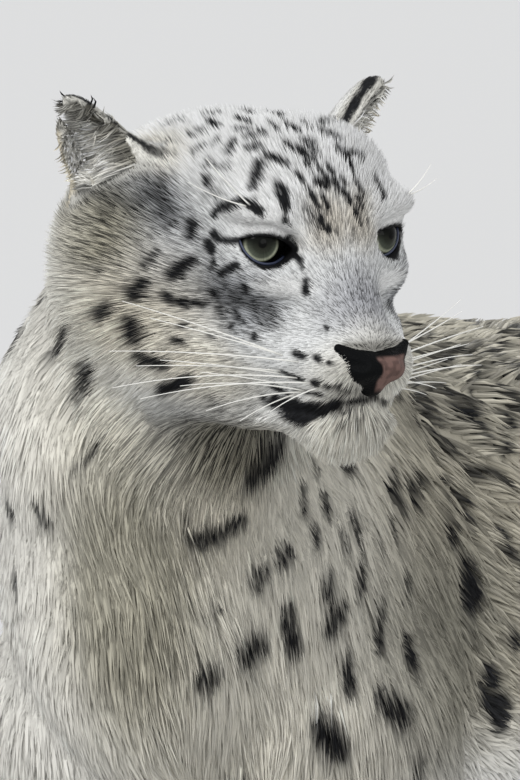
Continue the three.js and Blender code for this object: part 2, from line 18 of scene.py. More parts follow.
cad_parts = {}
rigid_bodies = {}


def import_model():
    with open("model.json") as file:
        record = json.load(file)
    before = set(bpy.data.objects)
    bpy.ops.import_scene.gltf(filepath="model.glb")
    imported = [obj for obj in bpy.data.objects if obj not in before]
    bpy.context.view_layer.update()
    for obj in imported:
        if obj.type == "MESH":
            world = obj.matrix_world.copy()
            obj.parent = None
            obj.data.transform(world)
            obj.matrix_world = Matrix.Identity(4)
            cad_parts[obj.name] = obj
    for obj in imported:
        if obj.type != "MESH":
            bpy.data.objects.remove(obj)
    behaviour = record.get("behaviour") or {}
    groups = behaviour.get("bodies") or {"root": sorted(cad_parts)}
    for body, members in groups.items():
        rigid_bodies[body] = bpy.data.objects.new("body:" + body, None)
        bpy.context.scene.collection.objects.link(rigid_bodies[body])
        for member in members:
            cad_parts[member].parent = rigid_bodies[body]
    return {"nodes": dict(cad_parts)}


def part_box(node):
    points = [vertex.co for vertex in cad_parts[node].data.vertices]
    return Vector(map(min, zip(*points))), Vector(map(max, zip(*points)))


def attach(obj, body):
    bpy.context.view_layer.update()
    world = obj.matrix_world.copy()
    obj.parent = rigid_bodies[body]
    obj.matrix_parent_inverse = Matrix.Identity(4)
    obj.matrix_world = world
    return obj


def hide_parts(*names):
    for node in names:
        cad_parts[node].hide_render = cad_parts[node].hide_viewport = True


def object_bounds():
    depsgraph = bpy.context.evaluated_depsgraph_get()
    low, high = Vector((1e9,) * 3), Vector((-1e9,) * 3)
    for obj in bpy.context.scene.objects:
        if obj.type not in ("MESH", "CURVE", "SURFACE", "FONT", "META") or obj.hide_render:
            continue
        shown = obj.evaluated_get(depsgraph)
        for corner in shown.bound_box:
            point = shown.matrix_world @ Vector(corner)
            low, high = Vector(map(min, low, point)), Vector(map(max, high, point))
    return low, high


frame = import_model()
cad_box = [list(corner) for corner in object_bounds()]
print("solids:", len(frame["nodes"]), "box:", cad_box)

# %% [markdown]
# ## Building blocks for soft forms
# A skull, a haunch and a tail have no flat sides, so polygons placed by hand would look stiff. We describe
# them as fields instead: a function that is negative inside a form and positive outside, near to the
# distance in millimetres. Eggs and tapered limbs are enough for a body, and a soft minimum joins them as
# flesh joins.

# %% Eggs, limbs and soft joins
def join(a, b, softness):
    share = np.maximum(softness - np.abs(a - b), 0) / softness
    return np.minimum(a, b) - share * share * softness / 4


def carve(a, b, softness):
    return -join(-a, b, softness)


def egg(p, centre, half_sizes):
    q = p - np.array(centre, float)
    r = np.array(half_sizes, float)
    near = np.sqrt(((q / r) ** 2).sum(-1))
    slope = np.sqrt(((q / r**2) ** 2).sum(-1))
    return near * (near - 1) / np.maximum(slope, 1e-9)


def limb(p, start, end, start_radius, end_radius):
    a = np.array(start, float)
    ab = np.array(end, float) - a
    share = np.clip(((p - a) @ ab) / (ab @ ab), 0, 1)
    away = np.sqrt(((p - a - share[..., None] * ab) ** 2).sum(-1))
    return away - (start_radius + (end_radius - start_radius) * share)


def limb_row(p, stations, softness):
    rows = list(zip(stations, stations[1:]))
    whole = limb(p, rows[0][0][0], rows[0][1][0], rows[0][0][1], rows[0][1][1])
    for (start, start_radius), (end, end_radius) in rows[1:]:
        whole = join(whole, limb(p, start, end, start_radius, end_radius), softness)
    return whole


def smooth(value, low, high):
    t = np.clip((value - low) / (high - low), 0, 1)
    return t * t * (3 - 2 * t)


def turn(axis, degrees):
    c, s = math.cos(math.radians(degrees)), math.sin(math.radians(degrees))
    if axis == "x":
        return np.array([[1, 0, 0], [0, c, -s], [0, s, c]])
    if axis == "y":
        return np.array([[c, 0, s], [0, 1, 0], [-s, 0, c]])
    return np.array([[c, -s, 0], [s, c, 0], [0, 0, 1]])


def unit(v):
    return v / np.maximum(np.linalg.norm(v, axis=-1, keepdims=True), 1e-9)


print("2 mm off a ball of 10 mm:", egg(np.array([[12.0, 0, 0]]), (0, 0, 0), (10, 10, 10)).round(2))

# %% [markdown]
# ## The head's own frame
# The animal looks to its left, so the head is turned on the neck. Every feature of the face is easier to
# place in a frame of its own, with x to the animal's left, y backwards and z up from the middle between the
# eyes.

# %% Head frame and its measures
EYES_MIDDLE = np.array([153.0, -142.0, 638.0])
HEAD_YAW, HEAD_PITCH, HEAD_ROLL = 64.4, 6.5, 1.3
HEAD = turn("z", HEAD_YAW) @ turn("x", HEAD_PITCH) @ turn("y", -HEAD_ROLL)
EYEBALL_AT = np.array([33.0, 13.0, 0.0])
EYEBALL_RADIUS = 15.0
LID_RADIUS = 17.6
HEAD_MIDDLE = np.array([0.0, 50.0, -12.0])


def to_head(p):
    return (p - EYES_MIDDLE) @ HEAD


def from_head(q):
    return EYES_MIDDLE + np.asarray(q, float) @ HEAD.T


def mirrored(m):
    return np.stack([np.abs(m[..., 0]), m[..., 1], m[..., 2]], -1)


def from_eyeball(m):
    return np.linalg.norm(m - EYEBALL_AT, axis=-1)


def from_head_middle(m):
    return np.linalg.norm(m - HEAD_MIDDLE, axis=-1)


left_eye = from_head(EYEBALL_AT)
low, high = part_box("eye_left")
OFFSET = (np.array(low) + np.array(high)) / 2 - left_eye / 1000
print("own frame to packed frame, metres:", OFFSET.round(5))

# %% [markdown]
# ## Skull, muzzle and cheeks
# A snow leopard has a short broad muzzle, a domed forehead and wide cheeks. The forms are laid from the
# skull outwards in the order a sculptor would lay clay, and the left half stands for both.

# %% Head form
SKULL = ((0, 64, -2), (64, 82, 55))  # an egg: middle and half-sizes
FOREHEAD = ((0, 26, 22), (48, 36, 35))
BROW = ((32.5, 7, 16.5), (21.5, 17, 10.5))
EYE_HOLLOW = ((37, -4, 0), (16, 13, 9))
BRIDGE = ((0, 2, -12), (0, -33, -43), 22, 14.5)  # a limb: start, end and the radius at each
BRIDGE_STRETCH = np.array([0.88, 1, 1])
CHEEK_EGGS = [
    # name, middle, half-sizes, softness of the join
    ("cheek", (44, 80, -30), (43, 46, 48), 22),
    ("behind the cheek", (45, 98, -14), (38, 42, 44), 20),
    ("cheekbone", (31.5, 12, -16), (21.5, 23, 19), 13),
    ("whisker pad", (12, -32, -55), (15, 17, 16.5), 6),
]
JAW_LIMBS = [
    # name, start, end, radius at each, softness of the join
    ("upper lip", (13, -30, -54), (26, 4, -50), 14, 22, 10),
    ("chin", (0, -24, -81), (5, -24, -81), 20, 19, 8),
    ("jaw", (0, -12, -76), (38, 52, -62), 20, 34, 18),
]


def head_mass(m):
    whole = egg(m, *SKULL)
    whole = join(whole, egg(m, *FOREHEAD), 18)
    whole = join(whole, limb(m * BRIDGE_STRETCH, *BRIDGE), 14)
    for _, middle, sizes, softness in CHEEK_EGGS:
        whole = join(whole, egg(m, middle, sizes), softness)
    for _, *shape, softness in JAW_LIMBS:
        whole = join(whole, limb(m, *shape), softness)
    whole = join(whole, egg(m, *BROW), 9)
    whole = carve(whole, egg(m, *EYE_HOLLOW), 6)
    return join(whole, egg(m, EYEBALL_AT, [LID_RADIUS] * 3), 5)


print("head masses:", 4 + len(CHEEK_EGGS) + len(JAW_LIMBS))

# %% [markdown]
# ## Ears, eyelids and the line of the mouth
# The ear is a rounded blade with a cup hollowed out of its front. The opening between the lids is where two
# circles overlap, cut straight along the way the eye looks. The mouth line is followed over the muzzle by
# rays from inside, so that it always lies on the surface, however the muzzle is changed later.

# %% Ear
EAR_AT = np.array([71.0, 94.0, 29.0])
EAR_THICKNESS = 4.6
EAR_FRAME = turn("y", 30) @ turn("z", 46)
EAR_CUP = ((-1.5, -3, 1), (17.5, 12.5, 37))
EAR_FOLD = ((-15, 3, -15), (15, 9, 20))
EAR_LOBE = ((15, -1, -22), (8, 7, 14))
EAR_LEAN, EAR_NARROWING = 2.5, 0.26  # of the tip: millimetres outwards, share of the width


def ear_place(m):
    """Place in the ear's own frame, with the lean and the narrowing of its tip taken out."""
    q = (m - EAR_AT) @ EAR_FRAME
    tip = smooth(q[..., 2], 0, 38)
    across = (q[..., 0] - EAR_LEAN * tip) / (1 - EAR_NARROWING * tip)
    return np.stack([across, q[..., 1], q[..., 2]], -1)


def ear_form(m):
    q = ear_place(m)
    cup = np.abs(egg(q, *EAR_CUP)) - EAR_THICKNESS / 2
    cup = carve(cup, q[..., 1] + 4 + 0.06 * q[..., 2], 2)
    return join(join(cup, egg(q, *EAR_FOLD), 9), egg(q, *EAR_LOBE), 8)


def inside_ear(mm):
    """1 on the hollow side of the ear, 0 elsewhere."""
    q = ear_place(mm)
    hollow = (egg(q, *EAR_CUP) < 0.3) & (ear_form(mm) < 2.5) & (q[:, 1] > -7)
    return hollow.astype(float)


print("ear's cup, mm wide and high:", 2 * EAR_CUP[1][0], 2 * EAR_CUP[1][2])

# %% Opening between the lids
EYE_LOOKS_OUT = turn("z", 20)
EYE_SLANT = math.radians(11)
OPENING_ACROSS = -3.0
OPENING_LOW = (-19.6, 24.5)  # height of the circle's middle over the eye's, and its radius
OPENING_HIGH = (7, 15.6)


def eye_plane(m):
    s = (m - EYEBALL_AT) @ EYE_LOOKS_OUT
    across = s[..., 0] * math.cos(EYE_SLANT) + s[..., 2] * math.sin(EYE_SLANT)
    height = -s[..., 0] * math.sin(EYE_SLANT) + s[..., 2] * math.cos(EYE_SLANT)
    return across - OPENING_ACROSS, height, s[..., 1]


def eye_opening(m):
    across, height, back = eye_plane(m)
    low_circle = np.hypot(across, height - OPENING_LOW[0]) - OPENING_LOW[1]
    high_circle = np.hypot(across, height - OPENING_HIGH[0]) - OPENING_HIGH[1]
    return np.maximum(np.maximum(low_circle, high_circle), back)


print("eye open, mm:", OPENING_LOW[0] + OPENING_LOW[1] + OPENING_HIGH[1] - OPENING_HIGH[0])

# %% Line of the mouth
MOUTH_PATH = [(0, -48, -70), (9, -47, -73), (20, -38, -77), (31, -20, -80), (37, -2, -80)]
MOUTH_INSIDE = np.array([0.0, 0.0, -72.0])
LIP_BELOW = [0, 0, 4.6]


def follow(field, inside, targets, reach=90.0):
    """Where rays from inside towards the targets leave the form."""
    start = np.broadcast_to(inside, targets.shape)
    way = unit(targets - start)
    low_end, high_end = np.zeros(len(targets)), np.full(len(targets), reach)
    for _ in range(24):
        middle = (low_end + high_end) / 2
        within = field(start + way * middle[:, None]) < 0
        low_end = np.where(within, middle, low_end)
        high_end = np.where(within, high_end, middle)
    return start + way * low_end[:, None]


mouth_line = follow(head_mass, MOUTH_INSIDE, np.array(MOUTH_PATH, float))
lip_line = follow(head_mass, MOUTH_INSIDE, np.array(MOUTH_PATH, float) - LIP_BELOW)


def line_distance(m, line):
    whole = limb(m, line[0], line[1], 0, 0)
    for a, b in zip(line[1:], line[2:]):
        whole = np.minimum(whole, limb(m, a, b, 0, 0))
    return whole


print("mouth corner, head frame, mm:", mouth_line[-1].round(1))

# %% The whole head
def head_form(q):
    m = mirrored(q)
    whole = head_mass(m)
    whole = join(whole, line_distance(m, lip_line) - 2.4, 3)
    whole = carve(whole, line_distance(m, mouth_line) - 1.5, 2)
    whole = carve(whole, eye_opening(m), 1.2)
    whole = np.maximum(whole, -(from_eyeball(m) - EYEBALL_RADIUS + 0.4))
    return join(whole, ear_form(m), 7)


print("crown, mm inside the head:", head_form(np.array([[0.0, 60, 40]])).round(1))

# %% [markdown]
# ## Body, legs and tail
# The chest is deep and narrow, the back level, and the tail as thick as an arm. Legs stand a little apart
# in stride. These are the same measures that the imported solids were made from.

# %% Measures of the body
TORSO_STATIONS = [
    ((0, -30, 446), 106),
    ((0, 40, 448), 148),
    ((0, 200, 436), 141),
    ((0, 330, 436), 131),
    ((0, 460, 456), 118),
    ((0, 560, 474), 86),
]
FORELEG_STATIONS = [
    ((62, 8, 390), 58),
    ((68, 42, 318), 50),
    ((71, 24, 220), 40),
    ((72, 8, 120), 34),
    ((72, -6, 54), 35),
]
HINDLEG_STATIONS = [
    ((66, 490, 400), 88),
    ((72, 460, 320), 68),
    ((75, 456, 292), 58),
    ((74, 520, 232), 43),
    ((72, 580, 176), 33),
    ((72, 566, 100), 31),
    ((72, 554, 50), 33),
]
TAIL_STATIONS = [
    ((0, 590, 500), 48),
    ((-6, 680, 440), 46),
    ((-14, 760, 330), 49),
    ((-20, 840, 220), 52),
    ((-20, 950, 135), 54),
    ((-6, 1080, 105), 56),
    ((30, 1200, 130), 55),
    ((75, 1280, 190), 44),
]
TOES = [(-26, -24), (-9.5, -38), (9.5, -38), (26, -24)]
STANCE = {("fore", 1): 14, ("fore", -1): -10, ("hind", 1): -18, ("hind", -1): 16}
PAW_Y = {"fore": -26, "hind": 536}
LEG_SPACING = 72
CHEST_BEND = 8  # how far the chest leans to the left, where the head looks
SHOULDER_BLADE = ((28, 22, 538), (34, 60, 60))
SHOULDER = ((54, 10, 416), (38, 70, 108))
HAUNCH = ((62, 486, 418), (44, 92, 122))
NECK_BASE = np.array([4.0, -34.0, 480.0])
NECK_TOP = from_head((0, 104, -34))
NECK_STATIONS = [
    (NECK_BASE, 84),
    ((NECK_BASE + NECK_TOP) / 2 + np.array([-8, -16, 0]), 78),
    (NECK_TOP, 74),
]
print("neck, mm long:", np.linalg.norm(NECK_TOP - NECK_BASE).round())

# %% Torso and neck
def torso_form(p):
    bend = CHEST_BEND * np.clip(1 - p[..., 1] / 260, 0, 1.3)
    narrow = 0.66 + 0.10 * smooth(p[..., 1], 0, 220)
    x = p[..., 0] - bend
    q = np.stack([x / narrow, p[..., 1], p[..., 2]], -1)
    whole = limb_row(q, TORSO_STATIONS, 6) * narrow
    m = np.stack([np.abs(x), p[..., 1], p[..., 2]], -1)
    step = np.where(x > 0, 12, -4)
    stepped = np.stack([m[..., 0], m[..., 1] - step, m[..., 2]], -1)
    whole = join(whole, egg(m, *SHOULDER_BLADE), 40)
    whole = join(whole, egg(stepped, *SHOULDER), 40)
    return join(whole, egg(m, *HAUNCH), 40)


def neck_form(p):
    return limb_row(p, NECK_STATIONS, 10)


print("middle of the chest, mm inside:", torso_form(np.array([[8.0, 20, 450]])).round())

# %% Legs
def leg_form(kind, side):
    stations = FORELEG_STATIONS if kind == "fore" else HINDLEG_STATIONS
    stance = STANCE[kind, side]
    paw_at = np.array([LEG_SPACING, PAW_Y[kind], 0.0])

    def form(p):
        m = np.stack([p[..., 0] * side, p[..., 1] - stance, p[..., 2]], -1)
        leg = limb_row(m, stations, 8)
        foot = m - paw_at
        paw = egg(foot, (0, 4, 32), (38, 44, 33))
        for toe_x, toe_y in TOES:
            paw = join(paw, egg(foot, (toe_x, toe_y, 18), (13.5, 25, 20)), 4)
        return np.maximum(join(leg, paw, 10), -p[..., 2])

    return form


print("left forepaw, mm inside:", leg_form("fore", 1)(np.array([[72.0, -20, 30]])).round())

# %% Tail
def catmull_rom(stations, steps):
    """Stations along a smooth curve through the given ones, so many to each stretch."""
    rows = np.array([[*place, radius] for place, radius in stations], float)
    rows = np.vstack([2 * rows[0] - rows[1], rows, 2 * rows[-1] - rows[-2]])
    out = []
    for i in range(1, len(rows) - 2):
        a, b, c, d = rows[i - 1 : i + 3]
        for t in np.arange(steps) / steps:
            cubic = (2 * a - 5 * b + 4 * c - d) * t**2 + (3 * b - a - 3 * c + d) * t**3
            out.append((2 * b + (c - a) * t + cubic) / 2)
    out.append(rows[-2])
    return [(row[:3], row[3]) for row in out]


TAIL_ROW = catmull_rom(TAIL_STATIONS, 3)


def tail_form(p):
    return limb_row(p, TAIL_ROW, 8)


print("stations along the tail:", len(TAIL_ROW))

# %% [markdown]
# ## One field for the whole animal
# Each form reaches only so far, so it is worked out only inside a box round itself. That keeps millions of
# samples quick. The parts are joined in order, with the softness of the flesh between them.

# %% The whole body as one field
# each part: name, form, lowest and highest corner of its box, softness of its join
PARTS = [("torso", torso_form, (-150, -190, 250), (170, 700, 660), 1)]
PARTS.append(("neck", neck_form, (-140, -210, 380), (200, 120, 740), 40))
for kind, y_low, y_high, z_high in [("fore", -130, 160, 480), ("hind", 350, 700, 520)]:
    for side in (1, -1):
        x_low, x_high = (-40, 190) if side == 1 else (-190, 40)
        form = leg_form(kind, side)
        PARTS.append((f"{kind}leg", form, (x_low, y_low, -40), (x_high, y_high, z_high), 30))
PARTS.append(("tail", tail_form, (-130, 500, 0), (180, 1380, 600), 30))
HEAD_BOX_MIDDLE = from_head((0, 40, -10))


def head_in_place(p):
    return head_form(to_head(p))


PARTS.append(("head", head_in_place, HEAD_BOX_MIDDLE - 175, HEAD_BOX_MIDDLE + 175, 24))
FAR = 400.0


def body_form(p):
    whole = np.full(p.shape[:-1], FAR)
    for _, form, low, high, softness in PARTS:
        near = ((p > low) & (p < high)).all(-1)
        if near.any():
            whole[near] = join(whole[near], form(p[near]), softness)
    return whole


print("parts joined:", len(PARTS))

# %% [markdown]
# ## How deep the coat is
# The solids reach to the tips of the coat, so the skin lies beneath them by the coat's depth: barely a
# millimetre round the eyes and nose, a few on the forehead, and most on the neck, chest, belly and tail.

# %% Depth of the coat from place to place
def coat_depth(p):
    m = to_head(p)
    on_head = 1 - smooth(from_head_middle(m), 95, 150)
    from_nose = np.linalg.norm((m - np.array([0, -38, -55])) * np.array([1, 1, 0.9]), axis=-1)
    face = 0.7 + 4.6 * smooth(from_nose, 35, 130)
    face = face * (0.2 + 0.8 * smooth(from_eyeball(mirrored(m)), 17, 30))
    long_coat = np.maximum(1 - smooth(p[..., 1], -10, 80), 1 - smooth(p[..., 2], 316, 372))
    body = 6.5 + 4.5 * long_coat
    legs = 1 - smooth(p[..., 2], 190, 330)
    body = body * (1 - legs) + legs * (2.6 + 3 * smooth(p[..., 2], 60, 200))
    tail = smooth(p[..., 1], 640, 720)
    body = body * (1 - tail) + tail * 10
    whole = body * (1 - on_head) + face * on_head
    ear_away = np.maximum(ear_form(mirrored(m)), 0)
    return np.minimum(whole, 0.4 + ear_away * 0.6)


def skin_form(p):
    return body_form(p) + coat_depth(p)


print("coat depth behind the skull, mm:", coat_depth(from_head([[0.0, 150.0, -40.0]])).round(1))

# %% [markdown]
# ## One skin
# The field is sampled on a grid whose lines lie close together through the head and further apart
# elsewhere, because the face needs a fine surface and the flank doesn't. The zero level becomes a mesh of
# quads, and each vertex is then moved onto the exact surface, so that it stays smooth where the grid is
# coarse.

# %% Sample the grid
def grid_line(low, fine_low, fine_high, high, coarse, fine):
    before = np.arange(low, fine_low, coarse)
    through = np.arange(fine_low, fine_high, fine)
    after = np.arange(fine_high, high, coarse)
    return np.concatenate([before, through, after])


FINE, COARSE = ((1.8, 8.0))
STRIDE = 4  # the rough pass samples every fourth line of the grid
GRID_X = grid_line(-150, 66, 240, 260, COARSE, FINE)
GRID_Y = grid_line(-240, -214, 10, 1350, COARSE, FINE)
GRID_Z = grid_line(-12, 520, 745, 760, COARSE, FINE)


def sample_grid():
    grids = (GRID_X, GRID_Y, GRID_Z)
    shape = tuple(len(grid) for grid in grids)
    corners = [grid[::STRIDE] for grid in grids]
    rough = np.stack(np.meshgrid(*corners, indexing="ij"), -1).reshape(-1, 3)
    values = body_form(rough).reshape([len(c) for c in corners])
    for axis in range(3):
        values = values.repeat(STRIDE, axis)
    values = np.ascontiguousarray(values[: shape[0], : shape[1], : shape[2]], np.float32)
    spans = [np.gradient(grid) * STRIDE for grid in grids]
    reach = np.maximum(spans[0][:, None, None], spans[1][None, :, None])
    reach = np.maximum(reach, spans[2][None, None, :]) * 1.2 + 12
    near = np.nonzero(np.abs(values) < reach)
    points = np.stack([GRID_X[near[0]], GRID_Y[near[1]], GRID_Z[near[2]]], -1)
    values[near] = skin_form(points)
    print("grid", shape, "sampled closely:", len(points))
    return values


def on_surface(points, field, steps=3, e=0.4):
    """Points moved along the slope of the field until they lie on its zero level."""
    for _ in range(steps):
        here = field(points)
        slope = gradient(field, points, e)
        size = np.maximum((slope**2).sum(-1), 0.2)
        points = points - slope * np.clip(here / size, -2.5, 2.5)[:, None]
    return points


def gradient(field, points, e=0.4):
    slope = np.empty_like(points)
    for axis in range(3):
        shift = np.zeros(3)
        shift[axis] = e
        slope[:, axis] = (field(points + shift) - field(points - shift)) / (2 * e)
    return slope

# %% [markdown]
# ## From the grid to a mesh
# The zero level comes back in steps of the grid. Its vertices are turned into millimetres, moved onto the
# exact surface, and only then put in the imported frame. Above each vertex lies a place on the coat's outer
# surface, where the markings are read, so that skin and hair agree.

# %% Turn the zero level into a mesh
def new_piece(name, points, faces):
    mesh = bpy.data.meshes.new(name)
    mesh.from_pydata((points / 1000 + OFFSET).tolist(), [], faces)
    mesh.update()
    piece = bpy.data.objects.new(name, mesh)
    bpy.context.scene.collection.objects.link(piece)
    return piece


grid_values = sample_grid()
volume = openvdb.FloatGrid(FAR)
volume.copyFromArray(grid_values)
vertices, skin_quads = volume.convertToQuads(isovalue=0.0)
lines = enumerate((GRID_X, GRID_Y, GRID_Z))
skin_points = np.stack([np.interp(vertices[:, k], np.arange(len(g)), g) for k, g in lines], -1)
skin_points = on_surface(skin_points, skin_form)
skin = new_piece("skin", skin_points, skin_quads)
skin.data.shade_smooth()
skin_normals = np.empty(len(skin_points) * 3, np.float32)
skin.data.vertex_normals.foreach_get("vector", skin_normals)
skin_normals = skin_normals.reshape(-1, 3).astype(float)
coat_points = skin_points + skin_normals * coat_depth(skin_points)[:, None]
print("skin vertices:", len(skin_points), "faces:", len(skin_quads))

# %% [markdown]
# ## The camera
# The photograph looks at the animal from its front left and a little above. The picture is taken to be 520
# by 780 pixels. A short lens close by would stretch the face, so a long one stands well back. The same
# camera also tells us which place on the animal shows at a pixel, and we use that to place the markings.

# %% Camera at the photograph's angle
PICTURE = np.array([520.0, 780.0])
PIXELS_PER_MM = 2.05
CAMERA_AWAY = 5000.0
CAMERA_AZIMUTH, CAMERA_ELEVATION = math.radians(30), math.radians(4.5)
EYES_IN_PICTURE = np.array([326.0, 242.0])
SENSOR_HEIGHT = 36
NEAREST_PART = 330.0  # millimetres: no part stands further in front of the eyes than this
LOOK_STEPS = 160
camera_right = np.array([math.cos(CAMERA_AZIMUTH), math.sin(CAMERA_AZIMUTH), 0])
camera_back = np.array([
    math.sin(CAMERA_AZIMUTH) * math.cos(CAMERA_ELEVATION),
    -math.cos(CAMERA_AZIMUTH) * math.cos(CAMERA_ELEVATION),
    math.sin(CAMERA_ELEVATION),
])
camera_up = np.cross(camera_back, camera_right)
off_middle = (PICTURE / 2 - EYES_IN_PICTURE) / PIXELS_PER_MM
camera_target = EYES_MIDDLE + camera_right * off_middle[0] - camera_up * off_middle[1]
camera_at = camera_target + camera_back * CAMERA_AWAY

lens_data = bpy.data.cameras.new("camera")
lens_data.sensor_fit = "VERTICAL"
lens_data.sensor_height = SENSOR_HEIGHT
lens_data.lens = SENSOR_HEIGHT * CAMERA_AWAY / (PICTURE[1] / PIXELS_PER_MM)
lens_data.clip_end = 300
camera = bpy.data.objects.new("camera", lens_data)
bpy.context.scene.collection.objects.link(camera)
bpy.context.scene.camera = camera
axes = Matrix((camera_right, camera_up, camera_back)).transposed().to_4x4()
camera.matrix_world = Matrix.Translation(Vector(camera_at / 1000 + OFFSET)) @ axes
print("lens, mm:", round(lens_data.lens), "camera height, m:", round(camera.matrix_world.translation.z, 3))


def seen_at(pixels, field):
    """Points on the animal that show at these pixels of the picture."""
    pixels = np.asarray(pixels, float)
    aside = (pixels - PICTURE / 2) / PIXELS_PER_MM
    through = camera_target + camera_right * aside[:, :1] - camera_up * aside[:, 1:]
    way = unit(through - camera_at)
    away = np.full(len(pixels), CAMERA_AWAY - NEAREST_PART)
    for _ in range(LOOK_STEPS):
        away += np.clip(field(camera_at + way * away[:, None]) * 0.8, -4, 6)
    places = camera_at + way * away[:, None]
    return places, np.abs(field(places)) < 2

# %% [markdown]
# ## The markings
# The face has small sharp black marks, the neck and chest wider smoky ones, and the flank broken rings.
# Each mark is a short soft-ended stroke. Those that the photograph shows are placed by the pixels where
# they show. An image laid over the model would smear on the sides that it doesn't show, and strokes don't.
# The hidden side of the face takes the same marks mirrored.

# %% Strokes of the face and crown
# each stroke: radius in pixels, then the places that it passes through
FACE_STROKES = [
    (5.0, (211, 213), (216, 206)), (5.0, (219, 206), (231, 203)),
    (4.6, (237, 198), (248, 201), (259, 211)), (4.4, (258, 161), (254, 173), (251, 183)),
    (1.8, (254, 194), (255, 197)), (3.8, (266, 154), (287, 161)), (3.6, (277, 182), (278, 190)),
    (4.2, (284, 187), (287, 206)), (3.0, (281, 196), (286, 224)), (2.6, (296, 171), (304, 179)),
    (2.0, (308, 185), (311, 188)), (2.8, (312, 192), (319, 205)), (2.3, (323, 193), (330, 207)),
    (4.0, (318, 179), (328, 185)), (3.2, (327, 176), (334, 181)), (2.6, (337, 178), (340, 187)),
    (3.0, (328, 163), (334, 170)), (2.6, (342, 175), (347, 181)), (3.0, (345, 189), (353, 201)),
    (2.7, (357, 178), (365, 191)), (3.0, (360, 195), (364, 205)), (3.0, (358, 207), (359, 213)),
    (2.0, (362, 218), (363, 224)), (3.2, (321, 216), (322, 221)), (3.2, (328, 226), (329, 229)),
    (1.6, (336, 230), (337, 232)), (1.6, (355, 228), (356, 230)), (2.0, (369, 217), (370, 222)),
    (2.8, (377, 174), (383, 186), (386, 195)), (4.6, (340, 147), (348, 153)),
    (2.5, (349, 156), (355, 169)), (3.0, (353, 150), (364, 154)), (3.2, (288, 238), (294, 251)),
    (3.6, (292, 250), (301, 261)), (2.0, (300, 262), (302, 268)),
]
CROWN_STROKES = [
    (3.4, (163, 122), (182, 117)), (3.8, (190, 132), (202, 127)), (3.2, (168, 139), (171, 138)),
    (3.6, (191, 147), (201, 142)), (3.4, (212, 141), (217, 136)), (5.0, (227, 148), (231, 140)),
    (3.8, (246, 145), (259, 144)), (3.4, (245, 135), (257, 133)), (3.4, (237, 116), (250, 121)),
    (3.0, (234, 127), (249, 128)), (4.0, (209, 119), (218, 125)), (4.2, (206, 112), (219, 111)),
    (3.2, (220, 106), (231, 105)), (3.0, (243, 109), (252, 113)), (3.0, (267, 112), (283, 116)),
    (3.2, (284, 121), (299, 129)), (2.2, (258, 127), (267, 133)), (2.4, (268, 120), (278, 128)),
    (2.8, (285, 140), (291, 146)), (3.0, (302, 111), (317, 113)), (3.4, (320, 122), (337, 121)),
    (3.6, (322, 129), (341, 137)), (2.2, (302, 120), (312, 126)), (3.0, (301, 138), (314, 141)),
    (2.6, (310, 146), (318, 150)), (3.0, (297, 145), (305, 150)), (2.4, (299, 151), (315, 157)),
    (2.0, (305, 159), (311, 164)), (2.0, (318, 164), (323, 170)), (2.8, (203, 163), (208, 157)),
    (2.8, (212, 163), (213, 164)), (2.4, (220, 166), (227, 161)), (3.0, (200, 173), (203, 183)),
    (3.0, (204, 182), (208, 176)),
]
CHEEK_STROKES = [
    (5.6, (187, 224), (186, 233)), (5.4, (205, 244), (209, 249)), (4.2, (211, 233), (217, 239)),
    (3.2, (218, 240), (237, 241)), (3.6, (154, 250), (147, 258), (141, 266)),
    (6.6, (186, 262), (178, 269), (169, 276)), (3.8, (211, 262), (207, 269)),
    (4.0, (217, 274), (227, 269), (234, 265)), (3.2, (92, 268), (94, 270)),
    (7.0, (140, 284), (129, 296)), (4.0, (243, 288), (245, 291)), (4.2, (209, 294), (213, 297)),
    (4.6, (163, 296), (167, 299)), (4.0, (177, 302), (184, 305)), (3.0, (192, 303), (201, 307)),
    (2.6, (214, 312), (219, 315)), (3.8, (231, 313), (234, 316)), (2.8, (225, 323), (229, 325)),
    (2.4, (240, 320), (242, 322)), (3.6, (252, 336), (254, 338)), (2.2, (206, 335), (209, 336)),
    (2.6, (178, 326), (182, 327)), (3.2, (171, 340), (179, 341)), (3.4, (305, 280), (305, 293)),
    (2.4, (325, 326), (326, 328)), (3.0, (293, 353), (302, 357)), (3.2, (315, 358), (318, 360)),
    (2.6, (328, 363), (330, 364)), (1.8, (279, 371), (287, 375)), (2.8, (289, 377), (301, 381)),
    (3.8, (313, 384), (316, 384)), (3.6, (326, 388), (328, 389)), (3.2, (337, 388), (340, 393)),
    (2.8, (347, 393), (349, 393)), (1.6, (356, 393), (358, 393)), (2.8, (271, 387), (288, 396)),
    (2.0, (294, 391), (322, 397)), (2.2, (331, 400), (333, 401)), (1.8, (341, 400), (343, 401)),
]
LIP_STROKES = [
    (3.4, (262, 399), (272, 407)), (7.4, (276, 403), (286, 411)), (11.0, (289, 409), (298, 416)),
    (8.6, (302, 413), (318, 410)), (5.6, (320, 410), (340, 406)),
    (3.2, (340, 406), (360, 402), (374, 399)), (2.2, (374, 388), (374, 399)),
    (2.4, (376, 400), (388, 405), (396, 402)), (2.2, (333, 414), (335, 422)),
    (2.2, (341, 412), (342, 427)), (2.2, (349, 410), (350, 424)), (2.2, (356, 409), (359, 424)),
    (1.8, (363, 410), (365, 420)), (1.8, (321, 424), (322, 426)), (2.2, (336, 430), (340, 428)),
    (1.8, (347, 431), (348, 434)), (1.6, (360, 430), (360, 434)),
]
SMOKE_STROKES = [
    (8.0, (164, 176), (150, 192), (136, 198)), (9.0, (160, 206), (168, 216)),
    (3.4, (152, 153), (170, 152)), (5.0, (80, 190), (108, 196), (128, 198)),
    (5.6, (98, 205), (103, 213)), (5.0, (205, 190), (215, 196)),
    (9.0, (238, 298), (256, 306), (268, 318)), (5.0, (222, 288), (238, 296)),
    (6.0, (210, 404), (216, 408)), (3.0, (352, 345), (374, 347), (392, 349), (404, 345)),
    (6.0, (308, 206), (318, 226)),
]
